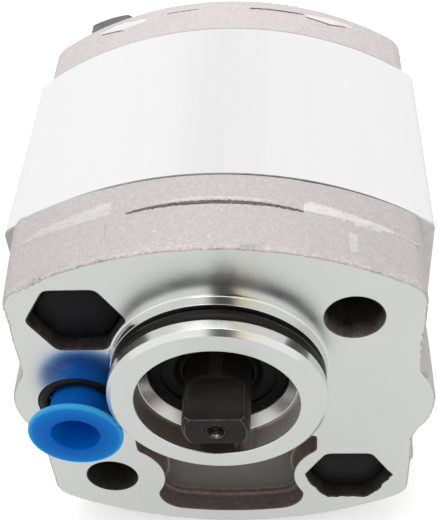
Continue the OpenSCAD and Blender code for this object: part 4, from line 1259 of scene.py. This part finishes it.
def clamp_stack():
    """The two bolts, dark in front and phosphated behind, with their nuts and washers."""
    bolts = softened("clamp_bolts", "clamp_bolts_forged", 0.2, everywhere, [bolt_dark, nut_dark])
    behind = np.array([f.center.y for f in bolts.data.polygons]) > BACK_Y * MM
    finish = np.where(behind, PHOSPHATED, FORGED)
    bolts.data.polygons.foreach_set("material_index", finish.astype(np.int32))
    reshaped(bolts, narrow_bolts)
    softened("clamp_nuts", "clamp_nuts_forged", 0.2, everywhere, [nut_dark])
    softened("spring_washers", "spring_washers_wound", 0.15, everywhere, [nut_dark])
    softened("flat_washers", "flat_washers_stamped", 0.15, everywhere, [bright])


def drive_shaft():
    """The drive gear shaft with the worn edges of its tang."""
    shaft = softened("drive_gear_shaft", "drive_shaft_ground", 0.1, on_the_tang,
                     [shaft_dark, worn_edge], segments=3, worn=WORN)
    reshaped(shaft, narrow_tang)


def cad_finishes():
    """A plain finish for each CAD node, also for those that a piece of this script replaces."""
    own = {"pump_body": extruded, "drive_gear_shaft": shaft_dark, "driven_gear_shaft": inner_shaft,
           "shaft_seal": seal_rubber_in_painted_shade, "seal_case": bright, "garter_spring": bright,
           "clamp_bolts": bolt_dark, "clamp_nuts": bolt_dark, "spring_washers": bolt_dark,
           "flat_washers": bright, "port_plug": plug_blue}
    kinds = {"bearing_block": alloy, "bush": bronze, "o_ring": rubber, "seal": rubber,
             "backup": backup, "dowels": bright}
    for name, node in frame["nodes"].items():
        of_kind = next((finish for kind, finish in kinds.items() if kind in name), alloy)
        node.data.materials.clear()
        node.data.materials.append(own.get(name, of_kind))


# Floor and light
def paper_floor():
    """White paper under the pump. It glows a little, for the camera only, and mirrors show most
    of it as one even tone."""
    bpy.ops.mesh.primitive_plane_add(size=2, location=(0, 0, -0.0489))
    floor = bpy.context.object
    floor.name = "floor"
    made, tree, shader = finish_of("white paper floor", (0.92, 0.92, 0.92), 0, 0.9, 0.1)
    shader.inputs["Emission Color"].default_value = (*WHITE, 1)
    seen = tree.nodes.new("ShaderNodeLightPath")
    tree.links.new(worked(tree, "MULTIPLY", seen.outputs["Is Camera Ray"], 0.4),
                   shader.inputs["Emission Strength"])
    sheet = tree.nodes.new("ShaderNodeEmission")
    sheet.inputs["Color"].default_value = (0.80, 0.81, 0.80, 1)
    even = tree.nodes.new("ShaderNodeMixShader")
    tree.links.new(spread(tree, seen.outputs["Is Glossy Ray"], 0, 1, 0, 0.75), even.inputs["Fac"])
    tree.links.new(shader.outputs["BSDF"], even.inputs[1])
    tree.links.new(sheet.outputs["Emission"], even.inputs[2])
    tree.links.new(even.outputs["Shader"], tree.nodes["Material Output"].inputs["Surface"])
    floor.data.materials.append(made)


def studio():
    """A white studio, full bright to the camera and in mirrors and dimmer as a light. Only in
    mirrors, a dark upright shape stands before it with warm light on its right: the colour
    follows how far a direction lies to the right, where it points to the front."""
    to_the_right = (0.993, 0.119, 0)
    to_the_front = (0.119, -0.993, 0)
    dark, warm, pale = (0.02, 0.02, 0.02), (1.0, 0.84, 0.62), (1.0, 0.93, 0.84)
    world = bpy.data.worlds.new("studio")
    bpy.context.scene.world = world
    world.use_nodes = True
    tree = world.node_tree
    sky = tree.nodes["Background"]
    ray = tree.nodes.new("ShaderNodeLightPath").outputs
    mirrored_ray = ray["Is Glossy Ray"]
    clear = worked(tree, "MAXIMUM", ray["Is Camera Ray"], mirrored_ray)
    clear = worked(tree, "MAXIMUM", clear, ray["Is Transmission Ray"])
    tree.links.new(spread(tree, clear, 0, 1, 0.65, 1.0), sky.inputs["Strength"])
    towards = tree.nodes.new("ShaderNodeTexCoord").outputs["Generated"]
    beside = worked(tree, "DOT_PRODUCT", towards, to_the_right, kind="VectorMath")
    before = worked(tree, "DOT_PRODUCT", towards, to_the_front, kind="VectorMath")
    standing = ramp(tree, spread(tree, beside, -0.5, 0.5, 0, 1),
                    [(0.26, WHITE), (0.38, dark), (0.63, dark), (0.71, warm), (0.82, pale),
                     (0.96, WHITE)])
    shown = worked(tree, "MULTIPLY", spread(tree, before, 0.05, 0.25, 0, 1), mirrored_ray)
    tree.links.new(mixed(tree, shown, (*WHITE, 1), standing), sky.inputs["Color"])


def lamp(name, location, target, size, power):
    """A soft square lamp."""
    data = bpy.data.lights.new(name, "AREA")
    data.size = size
    data.energy = power
    made = bpy.data.objects.new(name, data)
    bpy.context.scene.collection.objects.link(made)
    made.location = location
    made.rotation_euler = (Vector(target) - Vector(location)).to_track_quat("-Z", "Y").to_euler()


# Everything is made
fitted_camera()
front_cover()
rear_cover()
casting_marks()
port_plug()
threads()
centre_drilling()
pump_body()
clamp_stack()
drive_shaft()
cad_finishes()
paper_floor()
studio()
lamp("top_lamp", (-0.05, 0.12, 0.55), (0, 0.03, 0), 0.5, 1.5)

bpy.context.scene.view_settings.view_transform = "Standard"
